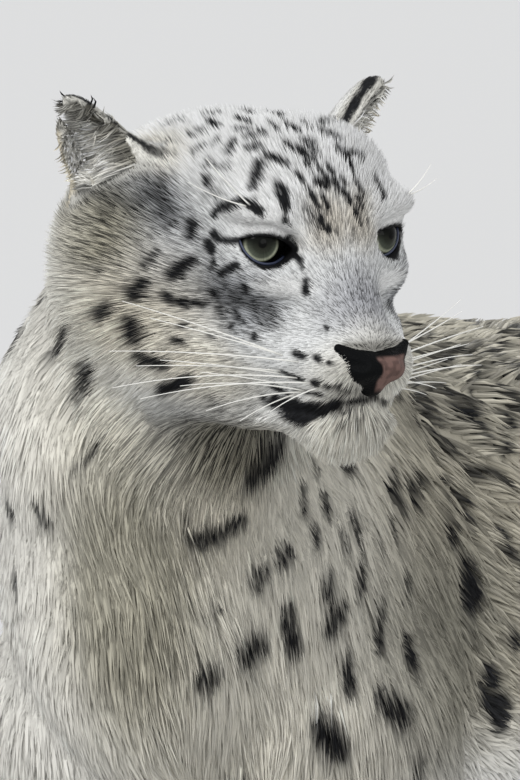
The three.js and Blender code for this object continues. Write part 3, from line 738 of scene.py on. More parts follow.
print("strokes of the head:", len(FACE_STROKES + CROWN_STROKES + CHEEK_STROKES + LIP_STROKES + SMOKE_STROKES))

# %% Strokes of the neck, chest and shoulder
NECK_STROKES = [
    (7.4, (104, 308), (95, 316)), (10.5, (127, 328), (129, 337)), (6.8, (133, 358), (160, 366)),
    (11.0, (78, 374), (76, 382)), (9.0, (72, 392), (71, 401)), (5.6, (62, 330), (54, 341)),
    (7.6, (49, 349), (40, 358)), (6.4, (157, 393), (172, 389), (186, 381)), (7.4, (34, 508), (40, 522)),
    (6.4, (6, 505), (8, 512)), (2.4, (66, 474), (80, 465), (93, 453)), (5.0, (12, 576), (14, 594)),
    (3.6, (203, 475), (206, 480)), (3.6, (186, 518), (188, 525)),
    (12.5, (256, 484), (270, 470), (283, 456)), (9.0, (197, 546), (220, 541), (244, 528)),
    (8.5, (259, 581), (266, 574)), (8.0, (286, 561), (292, 554)), (9.0, (291, 612), (291, 622)),
    (9.0, (295, 640), (297, 649)), (13.0, (249, 655), (258, 647)), (10.0, (208, 684), (215, 676)),
    (3.0, (207, 622), (228, 608)),
]
FLANK_STROKES = [
    (5.4, (312, 490), (312, 515)), (6.0, (332, 496), (334, 512)), (4.4, (321, 528), (321, 544)),
    (5.6, (355, 513), (360, 533)), (4.6, (345, 532), (348, 546)), (8.0, (395, 474), (394, 492)),
    (5.6, (394, 518), (395, 532)), (3.4, (380, 542), (381, 547)), (5.8, (363, 564), (361, 590)),
    (7.8, (331, 576), (329, 592)), (9.4, (342, 608), (333, 627)), (7.0, (405, 577), (408, 586)),
    (5.6, (383, 600), (384, 612)), (6.8, (383, 626), (385, 650)), (8.4, (413, 642), (415, 660)),
    (6.6, (352, 658), (353, 688)), (12.5, (388, 699), (404, 713)), (14.0, (326, 728), (338, 748)),
    (7.0, (418, 762), (421, 768)), (3.4, (435, 757), (437, 761)), (5.4, (326, 468), (327, 474)),
    (6.6, (352, 464), (358, 464)), (4.6, (418, 330), (424, 334)), (6.6, (422, 372), (424, 398)),
    (7.2, (424, 398), (421, 420)), (5.0, (439, 427), (439, 433)), (4.4, (432, 441), (434, 454)),
    # (8.6, (420, 474), (416, 500)) is painted shade, not a mark: the dark band where the foreleg's edge
    # shades the far flank
    (8.6, (420, 474), (416, 500)), (7.4, (451, 480), (450, 502)), (7.6, (471, 498), (475, 521)),
    (11.5, (452, 528), (457, 534)), (4.0, (486, 471), (487, 476)), (8.4, (514, 414), (516, 420)),
    (8.0, (511, 436), (513, 446)), (7.0, (507, 474), (513, 481)),
    (6.0, (505, 528), (510, 540), (516, 555)), (21.0, (470, 580), (474, 592)),
    (9.4, (489, 672), (500, 684)), (9.0, (488, 696), (492, 704)), (14.0, (500, 708), (506, 722)),
    (8.4, (514, 636), (519, 646)), (6.4, (454, 341), (452, 360)), (4.6, (466, 341), (472, 356)),
    (5.8, (479, 366), (482, 384)), (6.2, (484, 390), (487, 400)), (4.6, (457, 384), (459, 392)),
    (6.0, (459, 401), (468, 408)), (9.0, (474, 412), (482, 414)), (6.6, (500, 346), (505, 356)),
    (6.4, (506, 358), (519, 365)), (4.6, (503, 338), (512, 337)),
]
print("strokes of the neck and body:", len(NECK_STROKES + FLANK_STROKES))

# %% [markdown]
# ## Carrying the strokes onto the body
# Each end of a stroke is followed from the camera to the animal, and the stroke is kept as a line in space
# with a radius. From then on it stays where it is from any side. A stroke whose ends land far apart has run
# off the outline, and is left out. Noise makes the edges ragged, as hair does.

# %% Carry the strokes onto the body
STROKE_BOLDNESS = 1.25  # hair hides part of each mark, so they are drawn a quarter wider
TORN_FROM = 60  # millimetres between the ends of a stroke that has run off the outline


def carry(strokes, mirror):
    ends, radii = [], []
    for radius, *places in strokes:
        for a, b in zip(places, places[1:]):
            ends += [a, b]
            radii.append(radius * STROKE_BOLDNESS / PIXELS_PER_MM)
    points, found = seen_at(ends, body_form)
    out = []
    for i, radius in enumerate(radii):
        a, b = points[2 * i], points[2 * i + 1]
        if found[2 * i] and found[2 * i + 1] and np.linalg.norm(a - b) < TORN_FROM:
            out.append((a, b, radius))
    print("strokes carried:", len(out), "of", len(radii))
    return out, mirror


STROKE_SETS = {
    "face": carry(FACE_STROKES, False),
    "crown": carry(CROWN_STROKES, True),
    "cheek": carry(CHEEK_STROKES, True),
    "lip": carry(LIP_STROKES, True),
    "smoke": carry(SMOKE_STROKES, True),
    "neck": carry(NECK_STROKES, False),
    "flank": carry(FLANK_STROKES, False),
}
HIDDEN_SIDE_FROM = 36.0  # head frame, mm: past here the photograph doesn't show the far side

# %% Noise, and how much a stroke covers
def noise(p, size, seed):
    """Smooth random values between -1 and 1 at points, on a lattice of this size in millimetres."""
    q = p / size + seed * 17.31
    base = np.floor(q).astype(np.int64)
    t = q - base
    t = t * t * (3 - 2 * t)
    total = np.zeros(len(p))
    for i in range(8):
        corner = np.array([i & 1, (i >> 1) & 1, (i >> 2) & 1])
        at = base + corner
        mixed = at[:, 0] * 73856093 ^ at[:, 1] * 19349663 ^ at[:, 2] * 83492791 ^ (seed * 2654435)
        mixed = (mixed ^ (mixed >> 13)) * 1274126177 & 0x7FFFFFFF
        value = (mixed % 65536) / 32768.0 - 1
        share = np.where(corner, t, 1 - t).prod(-1)
        total += share * value
    return total


def stroke_cover(p, strokes, edge):
    """How far inside a stroke each point is: 1 well inside, 0 outside, soft over the edge."""
    wobble = noise(p, 5.0, 3) * 0.9 + noise(p, 2.2, 4) * 0.5
    cover = np.zeros(len(p))
    low = np.min([np.minimum(a, b) for a, b, _ in strokes], 0) - 15
    high = np.max([np.maximum(a, b) for a, b, _ in strokes], 0) + 15
    near = np.nonzero(((p > low) & (p < high)).all(-1))[0]
    for a, b, radius in strokes:
        away = limb(p[near], a, b, radius, radius) + wobble[near] * min(1.0, radius / 4)
        cover[near] = np.maximum(cover[near], 1 - smooth(away, -edge, edge))
    return cover


print("noise at two places:", noise(np.array([[3.0, 5, 7], [30.0, 50, 70]]), 9.0, 1).round(2))

# %% [markdown]
# ## Rings of the back and spots of the legs
# Behind the chest, where the photograph ends, the marks follow the species. On the back and flanks they are
# broken rings with a grey middle, set about 60 mm apart. Lower down and on the legs they shrink to solid
# spots, and the tail wears large blotches. Placing hundreds by hand would take long and look laid out, so
# their middles are spread by a seeded draw that keeps them apart.

# %% Spread the rings
draw = np.random.default_rng(7)


def spread(candidates, spacing):
    kept = []
    for c in candidates:
        if all(((c - k) ** 2).sum() > spacing**2 for k in kept):
            kept.append(c)
    return np.array(kept)


vertex_count = len(skin_points)
shuffled_order = draw.permutation(vertex_count)
shuffled = coat_points[shuffled_order[:9000]]
on_back = (shuffled[:, 1] > 40) & (shuffled[:, 1] < 640) & (shuffled[:, 2] > 350)
on_tail = shuffled[:, 1] > 640
on_legs = (shuffled[:, 2] < 330) & (shuffled[:, 1] < 640) & (shuffled[:, 2] > 30)
RING_MIDDLES = spread(shuffled[on_back], 62)
NECK_SPOTS = spread(shuffled[(shuffled[:, 1] < 60) & (shuffled[:, 2] > 300)], 42)
NAPE_SPOTS = spread(shuffled[np.linalg.norm(shuffled - from_head((0, 90, 0)), axis=-1) < 130], 17)
LEG_SPOTS = spread(shuffled[on_legs], 33)
TAIL_SPOTS = spread(shuffled[on_tail], 62)
print("rings:", len(RING_MIDDLES), "leg spots:", len(LEG_SPOTS), "tail blotches:", len(TAIL_SPOTS))


def nearest(p, middles):
    tree = KDTree(len(middles))
    for i, m in enumerate(middles):
        tree.insert(m, i)
    tree.balance()
    found = [tree.find(q) for q in p]
    return np.array([f[1] for f in found], int), np.array([f[2] for f in found], float)

# %% How much the rings and spots cover
RING_FROM = 15  # millimetres: a mark wider than this is an open ring, and others are solid spots


def ring_cover(p):
    cover = np.zeros(len(p))
    back = np.nonzero((p[:, 1] > 0) & (p[:, 1] < 700) & (p[:, 2] > 300))[0]
    which, away = nearest(p[back], RING_MIDDLES)
    high = smooth(p[back, 2], 380, 500)
    radius = 9 + 15 * high + 3 * noise(RING_MIDDLES[which], 10.0, 5)
    wobble = 4 * noise(p[back], 16.0, 6)
    ring = np.abs(away + wobble - radius) - (4.6 + 2.6 * noise(p[back], 20.0, 8))
    solid_spot = away + wobble * 0.7 - radius
    open_ring = radius > RING_FROM
    edge = np.where(open_ring, ring, solid_spot)
    gaps = smooth(noise(p[back], 13.0, 9), -0.55, -0.1)
    cover[back] = (1 - smooth(edge, -2.5, 3.0)) * np.where(open_ring, 0.35 + 0.65 * gaps, 1)
    middle = (1 - smooth(away - radius, -6, 2)) * open_ring * 0.22
    cover[back] = np.maximum(cover[back], middle) * smooth(p[back, 1], 30, 90)
    return cover


def pixel_of(p):
    q = p - camera_at
    away = -(q @ camera_back)
    across = q @ camera_right / away * CAMERA_AWAY * PIXELS_PER_MM
    above = q @ camera_up / away * CAMERA_AWAY * PIXELS_PER_MM
    return PICTURE[0] / 2 + across, PICTURE[1] / 2 - above


def in_photograph(p):
    """True where the photograph shows the neck or body: inside its edges, on the side facing the camera."""
    x, y = pixel_of(p)
    share = np.clip((p[:, 2] - 480) / (NECK_TOP[2] - 480), 0, 1)[:, None]
    middle = NECK_BASE * (1 - share) + NECK_TOP * share
    low = p[:, 2] < 480
    middle[low] = np.stack([0 * p[low, 1], np.clip(p[low, 1], 0, 560), p[low, 2]], -1)
    facing = (p - middle) @ camera_back > 0
    return facing & (x > -4) & (x < 524) & (y < 786) & (p[:, 1] < 420)


def spot_cover(p, middles, size, mask):
    cover = np.zeros(len(p))
    chosen = np.nonzero(mask)[0]
    if len(chosen) == 0:
        return cover
    which, away = nearest(p[chosen], middles)
    radius = size * (1 + 0.35 * noise(middles[which], 9.0, 11))
    edge = away + size * 0.3 * noise(p[chosen], size * 0.9, 12) - radius
    cover[chosen] = 1 - smooth(edge, -2.5, 2.5)
    return cover


print("share of the coat in rings:", ring_cover(shuffled[:3000]).mean().round(2))

# %% All the markings together
# each set of strokes on the head: name, softness of the edge in millimetres, strength
HEAD_SETS = [
    ("face", 0.8, 1),
    ("crown", 0.8, 1),
    ("cheek", 1.1, 1),
    ("lip", 1.0, 1),
    ("smoke", 3.5, 0.55),
]


def marking(p):
    """How dark the markings, and one band of painted shade on the far flank, make each point of the coat, 0
    to 1.
    """
    m = to_head(p)
    dark = np.zeros(len(p))
    away_from_head = from_head_middle(m)
    near_head = np.nonzero(away_from_head < 190)[0]
    q = p[near_head]
    flipped = m[near_head] * np.array([-1, 1, 1])
    hidden = (m[near_head, 0] > HIDDEN_SIDE_FROM) | (m[near_head, 1] > 105)
    for name, edge, strength in HEAD_SETS:
        strokes, mirror = STROKE_SETS[name]
        dark[near_head] = np.maximum(dark[near_head], strength * stroke_cover(q, strokes, edge))
        if mirror:
            other = stroke_cover(from_head(flipped), strokes, edge) * strength * hidden
            dark[near_head] = np.maximum(dark[near_head], other)
    for name, edge in [("neck", 2.2), ("flank", 2.4)]:
        dark = np.maximum(dark, stroke_cover(p, STROKE_SETS[name][0], edge))
    seen = in_photograph(p)
    dark = np.maximum(dark, ring_cover(p) * np.where(seen, 0.0, 0.92))
    neck = (p[:, 1] < 60) & (p[:, 2] > 300) & ~seen & (away_from_head > 125)
    dark = np.maximum(dark, 0.85 * spot_cover(p, NECK_SPOTS, 9.5, neck))
    nape = (m[:, 1] > 100) & (away_from_head < 190) & ~seen & (m[:, 2] > -60)
    dark = np.maximum(dark, 0.85 * spot_cover(p, NAPE_SPOTS, 5.0, nape))
    legs = (p[:, 2] < 350) & (p[:, 1] < 680)
    leg_spots = 0.85 * spot_cover(p, LEG_SPOTS, 8.5, legs) * (1 - smooth(p[:, 2], 300, 345))
    dark = np.maximum(dark, leg_spots)
    tail = p[:, 1] > 640
    tail_spots = 0.85 * spot_cover(p, TAIL_SPOTS, 19, tail) * smooth(p[:, 1], 640, 690)
    return np.maximum(dark, tail_spots)


dark_share = marking(coat_points[shuffled_order[:4000]]).mean()
print("share of the coat that is dark:", round(float(dark_share), 2))

# %% [markdown]
# ## The colours of the coat
# The ground colour is off-white, greyer on the bridge of the nose and round the temples, warmer on the cheek
# and behind the shoulder, and palest on the chin, brows and chest. Some patches are painted light and shade:
# a painted shadow on the throat under the jaw, painted shade on the flank behind the shoulder, painted shade
# in the depth of the ears, and painted light that makes the animal's right of the neck and chest whiter. It
# could be painted by hand, but it is written as soft patches in the head's and the body's own frames, so that
# skin and coat can share it.

# %% Ground colours
def colour(code):
    channels = np.array([int(code[i : i + 2], 16) / 255 for i in (0, 2, 4)])
    return np.where(channels <= 0.04045, channels / 12.92, ((channels + 0.055) / 1.055) ** 2.4)


WHITE = colour("f2f2f0")
FACE_WHITE = colour("dadbda")
BRIDGE_GREY = colour("86878c")
NOSE_TOP = colour("2c2e34")
TEMPLE_GREY = colour("85878a")
CREAM = colour("d9cfb8")
NECK_CREAM = colour("e4e0d3")
THROAT_PAINTED_SHADOW = colour("5f5b4a")
BACK_GREY = colour("c2bdad")
BELLY_WHITE = colour("efeee9")
BLACK = colour("101114")
BROWN_BEIGE = colour("b4a68c")
LID_BLACK = colour("0b0b0d")
EAR_BACK = colour("b9b8b2")
EAR_HAIR = colour("eceae2")
EAR_OLIVE_AND_SHADE = colour("5d594a")
RUFF_OLIVE = colour("7f7a66")
PEPPER = colour("5c5f62")
FLANK_PAINTED_SHADE = colour("5a5d58")
CHEST_OLIVE = colour("8a8674")


def blend(base, other, share):
    share = np.clip(share, 0, 1)[:, None]
    return base * (1 - share) + other * share


def patch(m, centre, sizes, softness=0.5):
    """1 in the middle of an egg, 0 well outside it."""
    away = np.sqrt((((m - np.array(centre, float)) / np.array(sizes, float)) ** 2).sum(-1))
    return 1 - smooth(away, 1 - softness, 1 + softness)


print("black against white:", (BLACK.mean() / WHITE.mean()).round(3))

# %% Colours of the ears
def ear_colours(mm, tint, near_side):
    """Pale hair in the hollow, olive skin with painted shade in its depth, a black edge along the front, and
    a white-grey back.
    """
    on_ear = 1 - smooth(ear_form(mm), 2, 7)
    q = ear_place(mm)
    hollow = inside_ear(mm)
    tint = blend(tint, EAR_BACK, on_ear * (1 - hollow) * 0.8)
    tint = blend(tint, EAR_HAIR, on_ear * hollow)
    depth = np.where(near_side, 0.8, 0.25)
    # painted shade mixed with the ear's own olive: the hollow darkens towards the rim and the tip, more on
    # the near side than the far one
    tint = blend(tint, EAR_OLIVE_AND_SHADE, on_ear * hollow * smooth(-q[:, 0], 4, 13) * depth)
    tip = smooth(q[:, 2], 20, 27) * (1 - smooth(q[:, 0], 4, 9))
    tint = blend(tint, EAR_OLIVE_AND_SHADE, on_ear * hollow * smooth(q[:, 2], 18, 30) * 0.75 * depth)
    rim = np.maximum(smooth(-q[:, 0], -6, 2) * smooth(q[:, 2], -14, 2), tip)
    wavy = 1.2 * noise(mm, 5.0, 43)
    band = (1 - smooth(np.abs(q[:, 1] - 0.6) + wavy, 1.8, 3.8)) * rim
    tint = blend(tint, WHITE, on_ear * (1 - hollow) * smooth(q[:, 1], 4, 8) * 0.7)
    tint = blend(tint, BLACK, on_ear * (1 - hollow) * band)
    edge = (1 - smooth(np.abs(q[:, 1] + 4.5), 1.0, 2.2)) * (1 - hollow) * (1 - tip)
    return blend(tint, blend(EAR_HAIR, CREAM, smooth(q[:, 0], 4, 10)), on_ear * edge * 0.8)


print("darkest hair of the ears:", EAR_OLIVE_AND_SHADE.round(3))

# %% Ground colour of the whole coat
# each patch: colour, strength, middle, half-sizes and, where it isn't 0.5, softness
FACE_PATCHES = [
    (CREAM, 0.75, (62, 70, -40), (40, 45, 35)),
    (CREAM, 0.6, (66, 88, 40), (30, 30, 20)),
    (PEPPER, 0.8, (68, 66, 18), (16, 34, 17)),
    (TEMPLE_GREY, 0.85, (43, 6, -26), (24, 22, 18)),
    (TEMPLE_GREY, 0.35, (64, 40, -10), (22, 30, 26)),
    (RUFF_OLIVE, 0.85, (80, 88, -4), (30, 34, 22)),
    (BRIDGE_GREY, 0.85, (0, -22, -30), (19, 26, 22)),
    (BROWN_BEIGE, 0.55, (8, -8, 12), (16, 16, 16)),
    (WHITE, 1, (34, 0, 15), (22, 17, 11)),
    (NOSE_TOP, 0.75, (7, -44, -43.5), (14, 9, 3.4), 0.35),
    (CREAM, 0.55, (45, 30, -66), (28, 34, 18)),
    (WHITE, 1, (28, -6, -18), (16, 13, 6)),
    (WHITE, 0.9, (12, -34, -62), (18, 18, 12)),
    (WHITE, 1, (6, -30, -88), (30, 34, 20)),
]
# painted shade: the flank behind the shoulder is darkened where the shoulder shades it
FLANK_SHADE_PATCHES = [(FLANK_PAINTED_SHADE, 0.6, (112, 70, 426), (60, 78, 66), 0.8)]
FRONT_PATCHES = [
    (CHEST_OLIVE, 0.75, (34, -138, 455), (36, 50, 80)),
    (NECK_CREAM, 0.8, (88, -54, 402), (24, 50, 60)),
    (CREAM, 0.6, from_head((-14, 20, -150)), (44, 44, 60)),
    # painted shadow: the throat under the jaw is darkened where the head shades the neck
    (THROAT_PAINTED_SHADOW, 0.8, from_head((-12, 44, -106)), (38, 38, 32)),
]


def patched(tint, m, patches):
    for over, strength, *place in patches:
        tint = blend(tint, over, strength * patch(m, *place))
    return tint


def ground_colour(p):
    m = to_head(p)
    mm = mirrored(m)
    tint = np.broadcast_to(BACK_GREY, p.shape).copy()
    belly = 1 - smooth(p[:, 2], 320, 400)
    tint = blend(tint, BELLY_WHITE, belly * smooth(p[:, 2], 240, 300))
    side = smooth(p[:, 2], 330, 430) * (1 - smooth(p[:, 2], 470, 560))
    tint = blend(tint, CREAM, 0.45 * side)
    tint = blend(tint, CREAM, 0.35 * (1 - smooth(p[:, 2], 60, 330)) * (p[:, 1] < 660))
    front = 1 - smooth(p[:, 1], -40, 60)
    tint = blend(tint, NECK_CREAM, front)
    # painted light: the animal's right of the neck and chest is painted whiter, as if the light came from
    # that side
    to_the_right = 1 - smooth(p[:, 0], -50, 40)
    tint = blend(tint, WHITE, front * to_the_right * 0.4)
    head = 1 - smooth(from_head_middle(m), 85, 120)
    face = np.broadcast_to(FACE_WHITE, p.shape).copy()
    face = blend(face, WHITE, 0.7 * smooth(mm[:, 2], 10, 35))
    tint = blend(tint, patched(face, mm, FACE_PATCHES), head)
    tint = ear_colours(mm, tint, m[:, 0] < 0)
    tint = patched(tint, mirrored(p), FLANK_SHADE_PATCHES)
    return patched(tint, p, FRONT_PATCHES)


def lid_line(m):
    """1 on the black rims of the lids and at the inner corner of the eye, 0 away from them."""
    mm = mirrored(m)
    _, height, back = eye_plane(mm)
    reach = 0.8 + 1.5 * smooth(height, 0, 4)
    rim = 1 - smooth(np.abs(eye_opening(mm)), reach, reach + 1.0)
    corner = limb(mm, (18.5, -1, -4), (13, -11, -13), 3.8, 2.0)
    rim = rim * (back < 2) * (from_eyeball(mm) < 23)
    return np.maximum(rim, 1 - smooth(corner, -0.6, 1.2))


def coat_colour(p):
    tint = ground_colour(p)
    patchy = 0.09 * noise(p, 26.0, 21) + 0.06 * noise(p, 9.0, 22)
    tint = tint * (1 + patchy[:, None])
    dark = marking(p)
    tint = blend(tint, BLACK, dark)
    return blend(tint, LID_BLACK, lid_line(to_head(p)))


print("mean colour of the coat:", coat_colour(shuffled[:3000]).mean(0).round(3))

# %% [markdown]
# ## The skin as a piece
# Skin lies under every hair, and it shows between them and wherever the coat is short: on the lids, lips,
# ears and muzzle. It carries the same markings as the coat, as a colour on each vertex, so that no gap
# between tufts ever shows a wrong tone. Fine bumps stand for the short flat hair that is too small to
# model.

# %% Materials of the coat
def new_material(name, roughness, specular):
    """A plain shader, and what is needed to build on it."""
    material = bpy.data.materials.new(name)
    material.use_nodes = True
    nodes, links = material.node_tree.nodes, material.node_tree.links
    shader = nodes["Principled BSDF"]
    shader.inputs["Roughness"].default_value = roughness
    shader.inputs["Specular IOR Level"].default_value = specular
    return material, nodes, links, shader


def plain_material(name, tint, roughness, specular):
    material, _, _, shader = new_material(name, roughness, specular)
    shader.inputs["Base Color"].default_value = (*tint, 1)
    return material


def painted_material(name, roughness, specular):
    """A material whose colour is the one painted on each vertex."""
    material, nodes, links, shader = new_material(name, roughness, specular)
    tint = nodes.new("ShaderNodeAttribute")
    tint.attribute_name = "coat_colour"
    links.new(tint.outputs["Color"], shader.inputs["Base Color"])
    return material, nodes, links, shader


def add_bump(nodes, links, shader, texture, output, strength, height):
    """Small relief from a texture on Object coordinates; height in metres."""
    place = nodes.new("ShaderNodeTexCoord")
    bump = nodes.new("ShaderNodeBump")
    bump.inputs["Strength"].default_value = strength
    bump.inputs["Distance"].default_value = height
    links.new(place.outputs["Object"], texture.inputs["Vector"])
    links.new(texture.outputs[output], bump.inputs["Height"])
    links.new(bump.outputs["Normal"], shader.inputs["Normal"])


def skin_material():
    material, nodes, links, shader = painted_material("skin", 0.8, 0.25)
    grain = nodes.new("ShaderNodeTexNoise")
    grain.inputs["Scale"].default_value = 900
    grain.inputs["Detail"].default_value = 3
    add_bump(nodes, links, shader, grain, "Fac", 0.5, 0.0006)
    return material


SKIN_MATERIAL = skin_material()
FUR_MATERIAL = painted_material("fur", 0.72, 0.25)[0]
print("materials:", SKIN_MATERIAL.name, FUR_MATERIAL.name)

# %% Paint the skin
def paint(mesh, colours):
    layer = mesh.color_attributes.new("coat_colour", "FLOAT_COLOR", "POINT")
    with_alpha = np.concatenate([colours, np.ones((len(colours), 1))], 1)
    layer.data.foreach_set("color", with_alpha.astype(np.float32).ravel())


FLESH_NODES = [name for name in frame["nodes"] if not name.startswith(("eye", "nose"))]
paint(skin.data, coat_colour(coat_points))
skin.data.materials.append(SKIN_MATERIAL)
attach(skin, "root")
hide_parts(*FLESH_NODES)
print("skin stands for", len(FLESH_NODES), "solids")

# %% [markdown]
# ## Where each tuft grows
# Hair lies back from the nose over the face, down the neck and chest, back along the body, down the legs
# and along the tail. It could be combed by hand, but rules by place are even on both sides and easy to
# change. Its length grows from two millimetres on the muzzle to about thirty on the chest, nearly forty on
# the tail and fifty on the belly. Roots are drawn over the triangles of the skin by area, with a fixed
# seed.

# %% Lie of the hair
NOSE_TIP = np.array([0.0, -52.0, -46.0])


def tail_way(p):
    places = np.array([row[0] for row in TAIL_ROW])
    middles, ways = (places[1:] + places[:-1]) / 2, unit(places[1:] - places[:-1])
    away = ((p[:, None, :] - middles[None]) ** 2).sum(-1)
    share = np.exp(-away / 60**2) + 1e-12
    return unit((share[:, :, None] * ways[None]).sum(1))


def hair_lie(p, normal):
    m = to_head(p)
    mm = mirrored(m)
    side = np.where(m[:, :1] < 0, -1.0, 1.0) * np.array([1, 0, 0]) + np.array([0, 1, 1])
    near_eye = 1 - smooth(from_eyeball(mm), 18, 34)
    way = unit(mm - NOSE_TIP) + 0.25 * unit(mm - EYEBALL_AT) * near_eye[:, None]
    low_cheek = smooth(-mm[:, 2], 10, 60) * smooth(mm[:, 1], 10, 60)
    way = way + low_cheek[:, None] * np.array([0.2, 0.1, -0.8])
    ear_share = 1 - smooth(ear_form(mm), 1, 8)
    way = way * (1 - ear_share[:, None]) + EAR_FRAME[:, 2] * ear_share[:, None]
    hollow = inside_ear(mm)[:, None]
    across_ear = EAR_FRAME[:, 0] + 0.15 * EAR_FRAME[:, 2] - 0.4 * EAR_FRAME[:, 1]
    way = way * (1 - hollow) + across_ear * hollow
    on_head = (way * side) @ HEAD.T
    y, z = p[:, 1], p[:, 2]
    back_share = smooth(y, 0, 150)[:, None]
    front = np.array([0.0, 0.12, -1.0]) + np.stack([np.sign(p[:, 0]) * 0.12, 0 * y, 0 * y], -1)
    back = np.array([0.0, 0.9, -0.42])
    body = front * (1 - back_share) + back * back_share
    legs = (1 - smooth(z, 230, 360))[:, None]
    body = body * (1 - legs) + np.array([0.0, 0.16, -1.0]) * legs
    paws = (1 - smooth(z, 26, 60))[:, None]
    body = body * (1 - paws) + np.array([0.0, -0.9, -0.5]) * paws
    tail = smooth(y, 620, 680)[:, None]
    body = body * (1 - tail) + tail_way(p) * tail
    share = head_share(p)[:, None]
    way = on_head * share + body * (1 - share)
    swirl = np.stack([noise(p, 24.0, s) for s in (31, 32, 33)], -1)
    way = way + swirl * (0.16 + 0.10 * (1 - share))
    return unit(way - normal * (way * normal).sum(-1, keepdims=True))


def head_share(p):
    m = to_head(p)
    skull = 1 - smooth(from_head_middle(m), 98, 140)
    return np.maximum(skull, 1 - smooth(ear_form(mirrored(m)), 2, 10))


lie_of_tail = tail_way(np.array([[-20.0, 950, 135]]))[0]
print("way of the hair on the tail:", lie_of_tail.round(2))

# %% Length of the hair
def hair_size(p):
    """Length of the tufts in millimetres."""
    m = to_head(p)
    mm = mirrored(m)
    y, z = p[:, 1], p[:, 2]
    from_nose = np.linalg.norm(mm - NOSE_TIP, axis=-1)
    face = 2.2 + 4.2 * smooth(from_nose, 15, 105)
    cheek = smooth(-mm[:, 2], -10, 40) * smooth(mm[:, 1], 30, 90)
    jaw = smooth(-mm[:, 2], 72, 94) * smooth(mm[:, 1], -46, 10)
    jaw = jaw * (0.45 + 0.55 * smooth(mm[:, 1], -25, 25))
    face = face + 15 * np.maximum(cheek, jaw) + 10 * smooth(mm[:, 1], 95, 140)
    near_eye = 1 - smooth(from_eyeball(mm), 18, 32)
    face = face * (1 - 0.45 * near_eye)
    ear = 1 - smooth(ear_form(mm), 2, 8)
    in_hollow = inside_ear(mm) * (1 - smooth(ear_place(mm)[:, 0], 2, 10))
    face = face * (1 - ear) + (2.2 + 4.0 * in_hollow) * ear
    front = 1 - smooth(y, -10, 100)
    belly = (1 - smooth(z, 306, 372)) * smooth(y, 90, 150) * (1 - smooth(y, 380, 440))
    body = 25 + 6 * front + 24 * belly
    legs = 1 - smooth(z, 215, 300)
    body = body * (1 - legs) + (9 + 8 * smooth(z, 60, 200)) * legs
    tail = smooth(y, 620, 680)
    body = body * (1 - tail) + 36 * tail
    share = head_share(p)
    return body * (1 - share) + face * share


some_lengths = hair_size(coat_points[shuffled_order[:4000]])
print("tufts, mm long:", some_lengths.min().round(1), "to", some_lengths.max().round(1))

# %% Roots over the skin
quads = np.array(skin_quads, int)
TRIANGLES = np.concatenate([quads[:, [0, 1, 2]], quads[:, [0, 2, 3]]])
a, b, c = (skin_points[TRIANGLES[:, k]] for k in range(3))
TRIANGLE_AREAS = np.linalg.norm(np.cross(b - a, c - a), axis=-1) / 2
TRIANGLE_MIDDLES = (a + b + c) / 3
print("skin area, square metres:", round(TRIANGLE_AREAS.sum() / 1e6, 3))


def scatter(share_of_triangles, count, seed):
    """Seeded roots over the triangles in proportion to area times share: each root's place on the skin,
    the coat's outer surface above it, the skin's normal, and the draw itself."""
    draw = np.random.default_rng(seed)
    weight = np.cumsum(TRIANGLE_AREAS * share_of_triangles)
    picked = np.searchsorted(weight, (np.arange(count) + draw.random(count)) / count * weight[-1])
    picked = np.minimum(picked, len(weight) - 1)
    u, v = draw.random(count), draw.random(count)
    over = u + v > 1
    u, v = np.where(over, 1 - u, u), np.where(over, 1 - v, v)
    shares = np.stack([1 - u - v, u, v], -1)[..., None]
    chosen = TRIANGLES[picked]
    places = (skin_points[chosen] * shares).sum(1)
    above = (coat_points[chosen] * shares).sum(1)
    normals = unit((skin_normals[chosen] * shares).sum(1))
    return places, above, normals, draw

# %% [markdown]
# ## The tuft, by geometry nodes
# One node group makes every patch of coat. It bends a thin cone into a blade that rises from the skin and
# then lies along it, sets one at each root, turned to the surface and the lie of the hair, and joins them
# into a plain mesh. Written blade by blade in code, it would be slower and harder to change.

